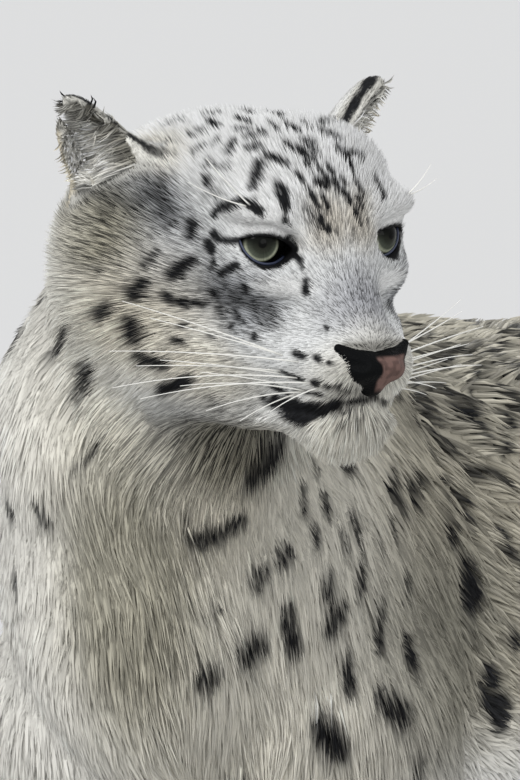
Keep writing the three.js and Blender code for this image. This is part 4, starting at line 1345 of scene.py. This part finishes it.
# %% Node group for tufts
def tuft_group():
    group = bpy.data.node_groups.new("tufts", "GeometryNodeTree")
    face = group.interface
    face.new_socket("Geometry", in_out="INPUT", socket_type="NodeSocketGeometry")
    sides = face.new_socket("Sides", in_out="INPUT", socket_type="NodeSocketInt")
    segments = face.new_socket("Segments", in_out="INPUT", socket_type="NodeSocketInt")
    thickness = face.new_socket("Thickness", in_out="INPUT", socket_type="NodeSocketFloat")
    material = face.new_socket("Material", in_out="INPUT", socket_type="NodeSocketMaterial")
    face.new_socket("Geometry", in_out="OUTPUT", socket_type="NodeSocketGeometry")
    nodes, links = group.nodes, group.links
    given, out = nodes.new("NodeGroupInput"), nodes.new("NodeGroupOutput")
    cone = nodes.new("GeometryNodeMeshCone")
    cone.fill_type = "NGON"
    cone.inputs["Radius Top"].default_value = 0
    cone.inputs["Radius Bottom"].default_value = 0.5
    cone.inputs["Depth"].default_value = 1
    links.new(given.outputs["Sides"], cone.inputs["Vertices"])
    links.new(given.outputs["Segments"], cone.inputs["Side Segments"])

    def math_node(operation, a, b):
        node = nodes.new("ShaderNodeMath")
        node.operation = operation
        for socket, value in zip(node.inputs, (a, b)):
            if isinstance(value, (int, float)):
                socket.default_value = value
            else:
                links.new(value, socket)
        return node.outputs[0]

    position = nodes.new("GeometryNodeInputPosition")
    split = nodes.new("ShaderNodeSeparateXYZ")
    links.new(position.outputs[0], split.inputs[0])
    along = split.outputs["Z"]
    left_over = math_node("SUBTRACT", 1, along)
    fuller = math_node("MULTIPLY_ADD", math_node("MULTIPLY", along, left_over), 2.6)
    fuller.node.inputs[2].default_value = 1
    width = math_node("MULTIPLY", split.outputs["X"], fuller)
    deep = math_node("MULTIPLY", split.outputs["Y"], fuller)
    depth = math_node("MULTIPLY", deep, given.outputs["Thickness"])
    rise = math_node("MULTIPLY", along, math_node("SUBTRACT", 2, along))
    height = math_node("ADD", depth, rise)
    shape = nodes.new("ShaderNodeCombineXYZ")
    for socket, value in zip(shape.inputs, (along, width, height)):
        links.new(value, socket)
    keep = nodes.new("GeometryNodeStoreNamedAttribute")
    keep.data_type, keep.domain = "FLOAT", "POINT"
    keep.inputs["Name"].default_value = "along"
    links.new(cone.outputs["Mesh"], keep.inputs["Geometry"])
    links.new(along, keep.inputs["Value"])
    bend = nodes.new("GeometryNodeSetPosition")
    links.new(keep.outputs["Geometry"], bend.inputs["Geometry"])
    links.new(shape.outputs[0], bend.inputs["Position"])

    def named(name):
        node = nodes.new("GeometryNodeInputNamedAttribute")
        node.data_type = "FLOAT_VECTOR"
        node.inputs["Name"].default_value = name
        return node.outputs["Attribute"]

    facing = nodes.new("FunctionNodeAxesToRotation")
    facing.primary_axis, facing.secondary_axis = "Z", "X"
    links.new(named("normal_way"), facing.inputs["Primary Axis"])
    links.new(named("lie_way"), facing.inputs["Secondary Axis"])
    plant = nodes.new("GeometryNodeInstanceOnPoints")
    links.new(given.outputs["Geometry"], plant.inputs["Points"])
    links.new(bend.outputs["Geometry"], plant.inputs["Instance"])
    links.new(facing.outputs["Rotation"], plant.inputs["Rotation"])
    links.new(named("size"), plant.inputs["Scale"])
    real = nodes.new("GeometryNodeRealizeInstances")
    dress = nodes.new("GeometryNodeSetMaterial")
    links.new(plant.outputs["Instances"], real.inputs["Geometry"])
    links.new(real.outputs["Geometry"], dress.inputs["Geometry"])
    links.new(given.outputs["Material"], dress.inputs["Material"])
    links.new(dress.outputs["Geometry"], out.inputs["Geometry"])
    return group, {"sides": sides, "segments": segments, "thickness": thickness, "material": material}


TUFTS, TUFT_SOCKETS = tuft_group()
print("tuft group nodes:", len(TUFTS.nodes))

# %% [markdown]
# ## Planting a patch
# A patch starts as bare points that carry what each tuft needs: its normal, its lie, its size and its
# number. The modifier turns them into tufts, and the result is kept as a plain mesh. Each vertex then gets
# its tuft's colour, darker at the root, where a real coat shades itself. Its normal is turned towards the
# skin's, which makes thousands of hard blades look like one soft coat. Its patch of the unwrap lies at its
# root's place.

# %% Plant the tufts at their roots
BLADE_SIDES = 3
ROOT_SHADE, TIP_GAIN = 0.68, 0.39
SOFTNESS = 0.85
PATCH_ACROSS = 0.003  # of the unwrap, for each tuft


def set_attribute(mesh, name, kind, values):
    layer = mesh.attributes.new(name, kind, "POINT")
    field = "vector" if kind == "FLOAT_VECTOR" else "value"
    layer.data.foreach_set(field, np.ascontiguousarray(values).ravel())


def get_attribute(mesh, name, kind):
    values = np.empty(len(mesh.vertices), kind)
    mesh.attributes[name].data.foreach_get("value", values)
    return values


def soften(mesh, skin_normal):
    """Turn each vertex normal partly towards the skin's, as light spreads through a layer of hair."""
    own = np.empty(len(mesh.vertices) * 3, np.float32)
    mesh.vertex_normals.foreach_get("vector", own)
    mixed = unit(own.reshape(-1, 3) * (1 - SOFTNESS) + skin_normal * SOFTNESS)
    mesh.shade_smooth()
    mesh.normals_split_custom_set_from_vertices(mixed.tolist())


def plant(name, roots, normals, lie, size, tints, places_on_unwrap, segments, thickness=0.35):
    """Grow one piece. tints has the colour at the root, middle and tip of each tuft."""
    seeds = new_piece(name + "_roots", roots, [])
    mesh = seeds.data
    set_attribute(mesh, "normal_way", "FLOAT_VECTOR", normals)
    set_attribute(mesh, "lie_way", "FLOAT_VECTOR", lie)
    set_attribute(mesh, "size", "FLOAT_VECTOR", size / 1000)
    set_attribute(mesh, "root", "INT", np.arange(len(roots), dtype=np.int32))
    modifier = seeds.modifiers.new("tufts", "NODES")
    modifier.node_group = TUFTS
    modifier[TUFT_SOCKETS["sides"].identifier] = BLADE_SIDES
    modifier[TUFT_SOCKETS["segments"].identifier] = segments
    modifier[TUFT_SOCKETS["thickness"].identifier] = thickness
    modifier[TUFT_SOCKETS["material"].identifier] = FUR_MATERIAL
    grown = seeds.evaluated_get(bpy.context.evaluated_depsgraph_get())
    coat_mesh = bpy.data.meshes.new_from_object(grown)
    coat_mesh.name = name
    bpy.data.objects.remove(seeds)
    piece = bpy.data.objects.new(name, coat_mesh)
    bpy.context.scene.collection.objects.link(piece)
    root = get_attribute(coat_mesh, "root", np.int32)
    along = get_attribute(coat_mesh, "along", np.float32)
    shade = ROOT_SHADE + TIP_GAIN * smooth(along, 0, 0.75)
    station = np.rint(along * 2).astype(int)
    paint(coat_mesh, np.clip(tints[station, root] * shade[:, None], 0, 1))
    soften(coat_mesh, normals[root])
    corner = np.empty(len(coat_mesh.loops), np.int32)
    coat_mesh.loops.foreach_get("vertex_index", corner)
    around = np.arange(len(root)) % BLADE_SIDES / 2 - 0.5
    patch_uv = np.stack([along - 0.5, around], -1) * PATCH_ACROSS
    uv = (places_on_unwrap[root] + patch_uv)[corner]
    layer = coat_mesh.uv_layers.new(name="OFBake")
    layer.data.foreach_set("uv", uv.astype(np.float32).ravel())
    for used in ("root", "along"):
        coat_mesh.attributes.remove(coat_mesh.attributes[used])
    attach(piece, "root")
    triangles = len(coat_mesh.loops) - 2 * len(coat_mesh.polygons)
    print(name, "tufts:", len(roots), "triangles:", triangles)
    return piece


# %% [markdown]
# ## Growing a patch
# Real hair hangs together in locks. So the lie of each tuft is turned towards the tip of the nearest of a
# few chosen ones. Its colours are read where its root, middle and tip come to lie on the coat's outer
# surface, so that a mark keeps its edge. Small seeded differences of length, width and tone keep the coat
# from looking like a brush.

# %% Grow a patch
def clumped(roots, normals, lie, length, spacing, pull, draw):
    """Turn the lie of each tuft towards the tip of the nearest clump."""
    if spacing <= 0:
        return lie
    count = max(8, len(roots) // spacing)
    chosen = draw.permutation(len(roots))[:count]
    which, _ = nearest(roots, roots[chosen])
    tips = roots[chosen] + lie[chosen] * length[chosen, None]
    way = tips[which] - roots
    way = way - normals * (way * normals).sum(-1, keepdims=True)
    return unit(lie * (1 - pull) + unit(way) * pull)


def fit_unwrap(flat):
    low, high = flat.min(0), flat.max(0)
    return 0.01 + 0.98 * (flat - low) / (high - low)


def onto_coat(p):
    """Points along the hair, brought back to the coat's outer surface, where the markings were measured."""
    off_ears = ear_form(mirrored(to_head(p))) > 6
    p[off_ears] = on_surface(p[off_ears], body_form, 1, 1.0)
    return p


def grow(
    name,
    where,
    count,
    seed,
    *,
    width,
    lift,
    unwrap,
    segments=2,
    clump=0,
    pull=0.6,
    thinning=None,
    length=hair_size,
    variety=0.1,
    pepper=0.35,
):
    """Scatter roots where asked, give each tuft its lie, colours and size, and plant them.

    clump is how many tufts share a lock, and pull how strongly they lean to it. variety is the spread of
    tone of pale hair, and pepper what dark hair adds to it."""
    share = where(TRIANGLE_MIDDLES).astype(float)
    if thinning is not None:
        share = share * thinning(TRIANGLE_MIDDLES)
    roots, above, normals, draw = scatter(share, count, seed)
    lie = hair_lie(roots, normals)
    lengths = length(roots) * (0.75 + 0.5 * draw.random(count))
    lie = unit(lie + 0.10 * (draw.random((count, 3)) - 0.5) * 2)
    lie = clumped(roots, normals, lie, lengths, clump, pull, draw)
    spots = (0.3, 0.5, 0.85) if segments > 1 else (0.3, 0.8)
    tints = np.array([coat_colour(onto_coat(above + lie * lengths[:, None] * at)) for at in spots])
    if segments == 1:
        tints = tints[[0, 0, 1]]
    greyness = np.clip(1 - tints[-1].mean(-1) / WHITE.mean(), 0, 0.8)
    spread_of_tone = (variety + pepper * greyness)[:, None]
    tints = tints * (1 + spread_of_tone * (2 * smooth(draw.random((count, 1)), 0.15, 0.85) - 1))
    widths = width(roots) * (0.7 + 0.6 * draw.random(count))
    lifts = lift(roots) * (0.6 + 0.6 * draw.random(count))
    size = np.stack([lengths, widths, lifts], -1)
    return plant(name, roots, normals, lie, size, tints, fit_unwrap(unwrap(roots)), segments)


# %% [markdown]
# ## Patches of coat
# The coat is divided where the animal's parts meet, so that no patch grows too large. The face has very
# many short fine tufts. The neck and chest have long soft ones drawn into locks, and over them a second
# layer of short fine hair. The back, flanks, legs and tail have fewer and broader ones.

# %% Coat of the head
def on_head(p):
    return head_share(p) > 0.5


def eye_free(p):
    mm = mirrored(to_head(p))
    inside_lids = (eye_opening(mm) < 1.2) & (from_eyeball(mm) < 21)
    inside_mouth = line_distance(mm, mouth_line) < 1.6
    return ~inside_lids & ~inside_mouth


def head_left(p):
    return on_head(p) & eye_free(p) & (to_head(p)[:, 0] >= 0)


def head_right(p):
    return on_head(p) & eye_free(p) & (to_head(p)[:, 0] < 0)


def head_density(p):
    mm = mirrored(to_head(p))
    near_front = 1 - smooth(mm[:, 1], 20, 120)
    return 0.5 + 0.5 * near_front


def head_width(p):
    return 0.42 + 0.036 * np.minimum(hair_size(p), 16)


def head_lift(p):
    m = to_head(p)
    hollow = inside_ear(mirrored(m))
    crown = smooth(m[:, 2], 20, 45)
    return np.maximum(0.5, (0.95 + 0.35 * crown) * coat_depth(p)) + 2.0 * hollow


def head_unwrap(p):
    """Round the head's middle, as on a globe."""
    q = to_head(p) - HEAD_MIDDLE
    around = np.arctan2(q[:, 0], -q[:, 1])
    above = np.arctan2(q[:, 2], np.hypot(q[:, 0], q[:, 1]))
    return np.stack([around, above], -1)


coarse = 1
short_hair = dict(
    width=head_width,
    lift=head_lift,
    unwrap=head_unwrap,
    segments=1,
    thinning=head_density,
    pepper=1.1,
)
grow("coat_head_left", head_left, 45000 // coarse, 101, **short_hair)
grow("coat_head_right", head_right, 49500 // coarse, 102, **short_hair)

# %% Hair inside the ears
def one(value):
    return lambda p: value + 0 * p[:, 0]


def in_ear(p):
    return inside_ear(mirrored(to_head(p))) > 0


def ear_hair_length(p):
    q = ear_place(mirrored(to_head(p)))
    reach = 15 - 11 * smooth(q[:, 0], -6, 13)
    return reach * (1 - 0.6 * smooth(q[:, 2], 16, 32))


ear_hair = dict(
    width=one(0.62),
    lift=one(4.0),
    unwrap=head_unwrap,
    clump=5,
    pull=0.3,
    length=ear_hair_length,
    variety=0.35,
)
grow("coat_ears", in_ear, 3000 // coarse, 110, **ear_hair)

# %% Coat of the neck and chest
def round_body(p):
    return np.stack([np.arctan2(p[:, 0] - 10, p[:, 2] - 440), p[:, 1] - 0.35 * p[:, 2]], -1)


def long_width(p):
    return 0.7 + 0.018 * hair_size(p)


def long_lift(p):
    return 0.95 * coat_depth(p)


def is_neck(p):
    return ~on_head(p) & (p[:, 1] < 60) & (p[:, 2] > 470)


def is_chest(p):
    return ~on_head(p) & (p[:, 1] < 60) & (p[:, 2] <= 470) & (p[:, 2] > 300)


def more_where_seen(p):
    return 1 + 2.5 * in_photograph(p)


def top_length(p):
    return np.minimum(0.55 * hair_size(p), 16)


body_hair = dict(lift=long_lift, unwrap=round_body, thinning=more_where_seen)
locks = dict(width=long_width, clump=18, pull=0.55, **body_hair)
top_hair = dict(
    width=one(0.65),
    segments=1,
    clump=40,
    pull=0.6,
    length=top_length,
    variety=0.06,
    **body_hair,
)
grow("coat_neck", is_neck, 19500 // coarse, 103, **locks)
grow("coat_chest", is_chest, 17000 // coarse, 104, **locks)
grow("coat_neck_top", is_neck, 44000 // coarse, 108, **top_hair)
grow("coat_chest_top", is_chest, 36000 // coarse, 109, **top_hair)

# %% Coat of the body, legs and tail
def is_body(p):
    return (p[:, 1] >= 60) & (p[:, 1] < 640) & (p[:, 2] > 300) & ~on_head(p)


def is_legs(p):
    return (p[:, 2] <= 300) & (p[:, 2] > 4) & (p[:, 1] < 640) & ~on_head(p)


def is_tail(p):
    return p[:, 1] >= 640


def round_leg(p):
    """Each leg unrolled beside the last."""
    middle_x = np.where(p[:, 0] > 0, 72, -72)
    middle_y = np.where(p[:, 1] < 280, 0, 530)
    around = np.arctan2(p[:, 0] - middle_x, p[:, 1] - middle_y) / (2 * np.pi)
    return np.stack([around + (p[:, 0] > 0) * 1.1 + (p[:, 1] > 280) * 2.2, p[:, 2]], -1)


def round_tail(p):
    return np.stack([np.arctan2(p[:, 0], p[:, 2] - 200), p[:, 1]], -1)


leg_hair = dict(width=one(1.8), lift=long_lift, unwrap=round_leg)
tail_hair = dict(width=one(2.6), lift=long_lift, unwrap=round_tail, clump=12, pull=0.5)
grow("coat_body", is_body, 19500 // coarse, 105, width=one(2.3), clump=16, **body_hair)
grow("coat_legs", is_legs, 11000 // coarse, 106, **leg_hair)
grow("coat_tail", is_tail, 8500 // coarse, 107, **tail_hair)

# %% [markdown]
# ## Eyes
# The eye of a snow leopard is pale grey-green with a round pupil. The iris could be a disc behind a clear
# shell, but a glass shell bakes badly. So the ball is one glossy form with a bulge for the cornea, and a
# material draws the iris by how far each point lies from its middle. It stays sharp however near we come.

# %% Eyeballs
GAZE = {1: (16.0, 6.0), -1: (21.0, 6.0)}  # outward and upward turn of the left and right eye, degrees
IRIS_RADIUS = 9.2
print("iris, mm across:", 2 * IRIS_RADIUS)


def eye_ball(side):
    rings, sides = 48, 64
    ways = []
    for i in range(rings + 1):
        from_front = math.pi * i / rings
        out = math.sin(from_front)
        for j in range(sides):
            angle = 2 * math.pi * j / sides
            ways.append((out * math.cos(angle), -math.cos(from_front), out * math.sin(angle)))
    way = np.array(ways)
    across = np.hypot(way[:, 0], way[:, 2]) * EYEBALL_RADIUS
    bulge = 1.3 * (1 - smooth(across, 0, 11)) * (way[:, 1] < 0)
    local = way * (EYEBALL_RADIUS - 0.15 + bulge)[:, None]
    gaze = turn("z", GAZE[side][0]) @ turn("x", -GAZE[side][1])
    m = local @ gaze.T + EYEBALL_AT
    m[:, 0] *= side
    faces = []
    for i in range(rings):
        for j in range(sides):
            k = (j + 1) % sides
            quad = (i * sides + j, (i + 1) * sides + j, (i + 1) * sides + k, i * sides + k)
            faces.append(quad if side == 1 else quad[::-1])
    return from_head(m), faces, local

# %% Material of the iris
IRIS_STOPS = [
    # share of the iris's radius, colour
    (0.0, "040404"),
    (0.19, "040404"),
    (0.27, "2b2c25"),
    (0.50, "34372f"),
    (0.75, "565b50"),
    (0.88, "b9bda5"),
    (0.95, "6d7160"),
    (1.0, "040404"),
]
LID_SHADE = {"From Min": -0.6, "From Max": 0.3, "To Min": 0.0, "To Max": 0.97}


def eye_material():
    material, nodes, links, shader = new_material("eye", 0.12, 0.03)
    shader.inputs["Coat Weight"].default_value = 0.08
    shader.inputs["Coat Roughness"].default_value = 0.03
    place = nodes.new("ShaderNodeAttribute")
    place.attribute_name = "iris_place"
    length = nodes.new("ShaderNodeVectorMath")
    length.operation = "LENGTH"
    links.new(place.outputs["Vector"], length.inputs[0])
    ramp = nodes.new("ShaderNodeValToRGB")
    elements = ramp.color_ramp.elements
    for at, code in IRIS_STOPS[1:-1]:
        elements.new(at).color = (*colour(code), 1)
    elements[0].color = (*colour(IRIS_STOPS[0][1]), 1)
    elements[-1].color = (*colour(IRIS_STOPS[-1][1]), 1)
    links.new(length.outputs["Value"], ramp.inputs["Fac"])
    normalised = nodes.new("ShaderNodeVectorMath")
    normalised.operation = "NORMALIZE"
    links.new(place.outputs["Vector"], normalised.inputs[0])
    fibres = nodes.new("ShaderNodeTexNoise")
    fibres.inputs["Scale"].default_value = 16
    fibres.inputs["Detail"].default_value = 4
    links.new(normalised.outputs[0], fibres.inputs["Vector"])
    mix = nodes.new("ShaderNodeMix")
    mix.data_type, mix.blend_type = "RGBA", "OVERLAY"
    mix.inputs["Factor"].default_value = 0.55
    links.new(ramp.outputs["Color"], mix.inputs["A"])
    links.new(fibres.outputs["Fac"], mix.inputs["B"])
    split = nodes.new("ShaderNodeSeparateXYZ")
    links.new(place.outputs["Vector"], split.inputs[0])
    under_lid = nodes.new("ShaderNodeMapRange")
    under_lid.interpolation_type = "SMOOTHSTEP"
    for socket, value in LID_SHADE.items():
        under_lid.inputs[socket].default_value = value
    links.new(split.outputs["Z"], under_lid.inputs["Value"])
    shadow = nodes.new("ShaderNodeMix")
    shadow.data_type, shadow.blend_type = "RGBA", "MIX"
    shadow.inputs["B"].default_value = (*colour("0b0c0a"), 1)
    links.new(under_lid.outputs["Result"], shadow.inputs["Factor"])
    links.new(mix.outputs["Result"], shadow.inputs["A"])
    links.new(shadow.outputs["Result"], shader.inputs["Base Color"])
    return material


EYE_MATERIAL = eye_material()
print("iris material nodes:", len(EYE_MATERIAL.node_tree.nodes))

# %% Set the eyes in their sockets
for name, side in (("eye_left", 1), ("eye_right", -1)):
    points, faces, local = eye_ball(side)
    eye = new_piece("glass_" + name, points, faces)
    eye.data.shade_smooth()
    place = np.stack([local[:, 0], 0 * local[:, 0], local[:, 2]], -1) / IRIS_RADIUS
    place[local[:, 1] > 0] = (2, 0, 0)
    set_attribute(eye.data, "iris_place", "FLOAT_VECTOR", place)
    eye.data.materials.append(EYE_MATERIAL)
    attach(eye, "root")
    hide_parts(name)
print("eyeballs, mm across:", 2 * EYEBALL_RADIUS)

# %% [markdown]
# ## Wet edge of the lower lid
# Where the lower lid meets the eyeball runs a thin wet edge, shiny, with its slate blue a painted reflection
# of the shine on it. It could be a line in the skin's colour, but the skin's vertices lie too far apart for
# that. So a slim rod follows the lid's own arc.

# %% Path along the lower lid
def lower_lid_path(side, steps=24):
    middle, radius = OPENING_HIGH
    around = np.radians(np.linspace(202, 338, steps))
    across = OPENING_ACROSS + radius * np.cos(around)
    height = middle + radius * np.sin(around) + 0.3
    x = across * math.cos(EYE_SLANT) - height * math.sin(EYE_SLANT)
    z = across * math.sin(EYE_SLANT) + height * math.cos(EYE_SLANT)
    y = -np.sqrt((EYEBALL_RADIUS + 0.5) ** 2 - x**2 - z**2)
    m = np.stack([x, y, z], -1) @ EYE_LOOKS_OUT.T + EYEBALL_AT
    return from_head(m * np.array([side, 1, 1]))


print("lower lid, mm above the eye's middle:", OPENING_HIGH[0] - OPENING_HIGH[1])

# %% [markdown]
# ## Nose leather
# Bare leather caps the muzzle: dark at the photograph's left, pink-brown towards the right, with
# comma-shaped nostrils and a groove down the middle. It is its own small form, because it needs a finer
# mesh than the skin. Its pebbles are relief in the material, as they stand out by less than half a
# millimetre.

# %% Form of the nose leather
def nose_form(q):
    m = mirrored(q)
    whole = egg(m, (0, -44, -53.5), (16.5, 12.8, 7.0))
    whole = join(whole, limb(m, (8, -46, -53), (19.5, -42.5, -44.0), 8.4, 2.2), 3.5)
    whole = join(whole, egg(m, (0, -43, -60), (6.5, 8.6, 9.0)), 5)
    nostril = limb(m, (12.5, -55, -50.5), (20.5, -48, -51), 3.0, 2.2)
    whole = carve(whole, nostril, 2)
    groove = limb(m, (0, -58, -50), (0, -54, -68), 1.1, 1.1)
    return carve(whole, groove, 1.2)


def mesh_of(field, low, high, step):
    lines = [np.arange(l, h, step) for l, h in zip(low, high)]
    places = np.stack(np.meshgrid(*lines, indexing="ij"), -1)
    values = field(places.reshape(-1, 3)).reshape(places.shape[:3])
    grid = openvdb.FloatGrid(10.0)
    grid.copyFromArray(values.astype(np.float32))
    vertices, quads = grid.convertToQuads(isovalue=0.0)
    points = np.array(low, float) + vertices * step
    return on_surface(points, field, 2, 0.1), quads


def leather_material():
    material, nodes, links, shader = painted_material("nose_leather", 0.6, 0.07)
    pebbles = nodes.new("ShaderNodeTexVoronoi")
    pebbles.inputs["Scale"].default_value = 1100
    add_bump(nodes, links, shader, pebbles, "Distance", 0.62, 0.0004)
    return material


nose_points, nose_faces = mesh_of(nose_form, (-29, -62, -70), (29, -24, -34), 0.6)
nose = new_piece("nose_leather", from_head(nose_points), nose_faces)
nose.data.shade_smooth()
print("nose leather faces:", len(nose_faces))

# %% Colour of the nose leather
LEATHER_BLACK, LEATHER_PINK = colour("050607"), colour("6c5650")
across, height = nose_points[:, 0], nose_points[:, 2]
ragged = across + 1.6 * noise(nose_points, 5.0, 41) + 0.05 * (height + 50)
pinkness = smooth(ragged, -3.6, -1.6)
pinkness = pinkness * smooth(nose_form(nose_points + [0, -1.2, 0]), 0.2, 0.8)
pinkness = pinkness * (1 - smooth(across, 13, 16.5)) * smooth(height, -67, -63)
pinkness = pinkness * (1 - smooth(height, -48.5, -47))
groove_away = limb(nose_points, (1, -58, -56), (-1, -54, -68), 0.5, 0.5)
pinkness = pinkness * (0.45 + 0.55 * smooth(groove_away, 0.0, 0.9))
pinkness = pinkness * (1 - 0.35 * smooth(noise(nose_points, 2.4, 42), 0.1, 0.6))
paint(nose.data, blend(np.broadcast_to(LEATHER_BLACK, nose_points.shape), LEATHER_PINK, pinkness))
nose.data.materials.append(leather_material())
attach(nose, "root")
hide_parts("nose")
print("pink share of the nose:", pinkness.mean().round(2))

# %% [markdown]
# ## Whiskers
# Long white whiskers grow in rows from the dark spots of the pads, with a few over the brows. Curves with a
# bevel would do, but the export needs plain meshes. So each is a thin tapered rod along a bent path. The
# photograph shows where the near ones start and end, and the far side gets the same ones mirrored and cut
# short.

# %% Where the whiskers grow
WHISKERS = [
    # start and end in the picture, sag of the middle in pixels, millimetres that the tip stands out
    ((284, 356), (122, 301), -4, 30),
    ((282, 355), (150, 318), -2, 36),
    ((300, 362), (74, 352), -9, 34),
    ((281, 371), (136, 366), -5, 42),
    ((298, 378), (112, 388), -14, 36),
    ((282, 374), (160, 360), -3, 40),
    ((312, 383), (140, 399), -12, 44),
    ((288, 385), (200, 372), -2, 40),
    ((305, 391), (180, 386), -10, 46),
    ((305, 392), (206, 411), -9, 34),
    ((296, 394), (240, 421), -5, 26),
    ((318, 388), (270, 412), -5, 22),
    ((250, 205), (206, 158), 4, 16),
    ((246, 206), (188, 182), 5, 16),
]
print("whiskers listed:", len(WHISKERS))

# %% Rods along paths
def rods(name, paths, root_radius, tip_radius, sides):
    points, faces = [], []
    for path in paths:
        steps = len(path)
        along = np.gradient(path, axis=0)
        aside = unit(np.cross(along, [0.31, 0.2, 0.93]))
        over = unit(np.cross(along, aside))
        first = len(points)
        for i in range(steps):
            radius = root_radius + (tip_radius - root_radius) * (i / (steps - 1)) ** 0.8
            for k in range(sides):
                angle = 2 * math.pi * k / sides
                spoke = aside[i] * math.cos(angle) + over[i] * math.sin(angle)
                points.append(path[i] + radius * spoke)
        for i in range(steps - 1):
            for k in range(sides):
                j = (k + 1) % sides
                a, b = first + i * sides, first + (i + 1) * sides
                faces.append((a + k, a + j, b + j, b + k))
        faces.append(tuple(first + k for k in reversed(range(sides))))
        faces.append(tuple(first + (steps - 1) * sides + k for k in range(sides)))
    return new_piece(name, np.array(points), faces)


lid_paths = [lower_lid_path(side) for side in (1, -1)]
lid_edges = rods("lid_edges", lid_paths, root_radius=0.85, tip_radius=0.6, sides=8)
# painted reflection: the slate blue stands for the shine on the wet edge, on a rod that is glossy as well
lid_edges.data.materials.append(plain_material("lid_edge_painted_reflection", colour("3e4458"), 0.22, 0.5))
lid_edges.data.shade_smooth()
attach(lid_edges, "root")
print("lid edges, faces:", len(lid_edges.data.polygons))

# %% Whiskers
WHISKERS_AHEAD = 52  # millimetres past the solids' box, at most
WHISKER_LIFT = 0.6  # of the millimetres in the list
MIRRORED_STEPS = 9  # of the steps of each whisker, on the far side
WHISKER_STEPS = 14


def whisker_paths():
    starts, _ = seen_at([w[0] for w in WHISKERS], body_form)
    paths = []
    for start, (_, end, sag, nearer) in zip(starts, WHISKERS):
        away = (start - camera_at) @ -camera_back
        nearer = nearer * WHISKER_LIFT
        aside = (np.array(end) - PICTURE / 2) / PIXELS_PER_MM
        through = camera_target + camera_right * aside[0] - camera_up * aside[1]
        way = through - camera_at
        tip = camera_at + way * (away - nearer) / (way @ -camera_back)
        middle = (start + tip) / 2 - camera_up * sag / PIXELS_PER_MM
        middle = middle + camera_back * nearer * 0.35
        root = start - 1.5 * camera_back
        t = np.linspace(0, 1, WHISKER_STEPS)[:, None]
        paths.append((1 - t) ** 2 * root + 2 * t * (1 - t) * middle + t**2 * tip)
    mirror = np.array([-1, 1, 1])
    paths = paths + [from_head(to_head(path[:MIRRORED_STEPS]) * mirror) for path in paths]
    foremost = 1000 * (cad_box[0][1] - OFFSET[1]) - WHISKERS_AHEAD
    return [path[path[:, 1] > foremost] for path in paths]


whisker_lines = whisker_paths()
whiskers = rods("whiskers", whisker_lines, root_radius=0.46, tip_radius=0.16, sides=5)
whiskers.data.materials.append(plain_material("whisker", colour("e9e8e2"), 0.45, 0.5))
whiskers.data.shade_smooth()
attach(whiskers, "root")
print("whiskers:", len(whisker_lines))

# %% [markdown]
# ## Floor and light
# A plain pale floor and an even pale world keep the eye on the animal. Area lights would leave bright
# patches on so wide a floor. So the light comes from three far lights that look broad in the sky, which
# makes shadows soft: a key from the front, a weaker fill from the animal's left, and one from behind that
# edges the coat.

# %% Floor
FLOOR_HALF = 90.0  # metres, so that its edge lies beyond the picture
FLOOR_BELOW = 0.001
floor_z = float(OFFSET[2]) - FLOOR_BELOW
floor_corners = [(x * FLOOR_HALF, y * FLOOR_HALF, floor_z) for x, y in ((-1, -1), (1, -1), (1, 1), (-1, 1))]
floor_mesh = bpy.data.meshes.new("floor")
floor_mesh.from_pydata(floor_corners, [], [(0, 1, 2, 3)])
floor_mesh.materials.append(plain_material("floor", (0.62, 0.62, 0.615), 1.0, 0.0))
floor = bpy.data.objects.new("floor", floor_mesh)
bpy.context.scene.collection.objects.link(floor)
print("floor, metres across:", 2 * FLOOR_HALF)

# %% World and lights
world = bpy.data.worlds.new("studio")
world.use_nodes = True
sky = world.node_tree.nodes["Background"]
sky.inputs["Color"].default_value = (0.84, 0.85, 0.87, 1)
sky.inputs["Strength"].default_value = 0.86
bpy.context.scene.world = world


def soft_light(name, at, across, strength):
    """A far light in the direction of a place, so many degrees across."""
    data = bpy.data.lights.new(name, "SUN")
    data.angle = math.radians(across)
    data.energy = strength
    light = bpy.data.objects.new(name, data)
    bpy.context.scene.collection.objects.link(light)
    place = Vector(at)
    light.location = place
    aim = Vector(EYES_MIDDLE / 1000 + OFFSET) - place
    light.rotation_euler = aim.to_track_quat("-Z", "Y").to_euler()


LIGHTS = [
    # name, place it shines from, degrees across, strength
    ("key", (0.1, -3.2, 2.4), 28, 1.7),
    ("fill", (2.8, -2.2, 0.9), 37, 0.7),
    ("back", (-1.6, 3.6, 2.6), 30, 0.9),
]
for given in LIGHTS:
    soft_light(*given)
bpy.context.scene.view_settings.view_transform = "Standard"
print("lights:", len(LIGHTS))

# %% [markdown]
# ## Size
# Hair and whiskers may stand a little past the solids, and no more. The box of the solids is printed, in
# metres.

# %% Box of the solids
bpy.context.view_layer.update()
print("solids box:", cad_box)
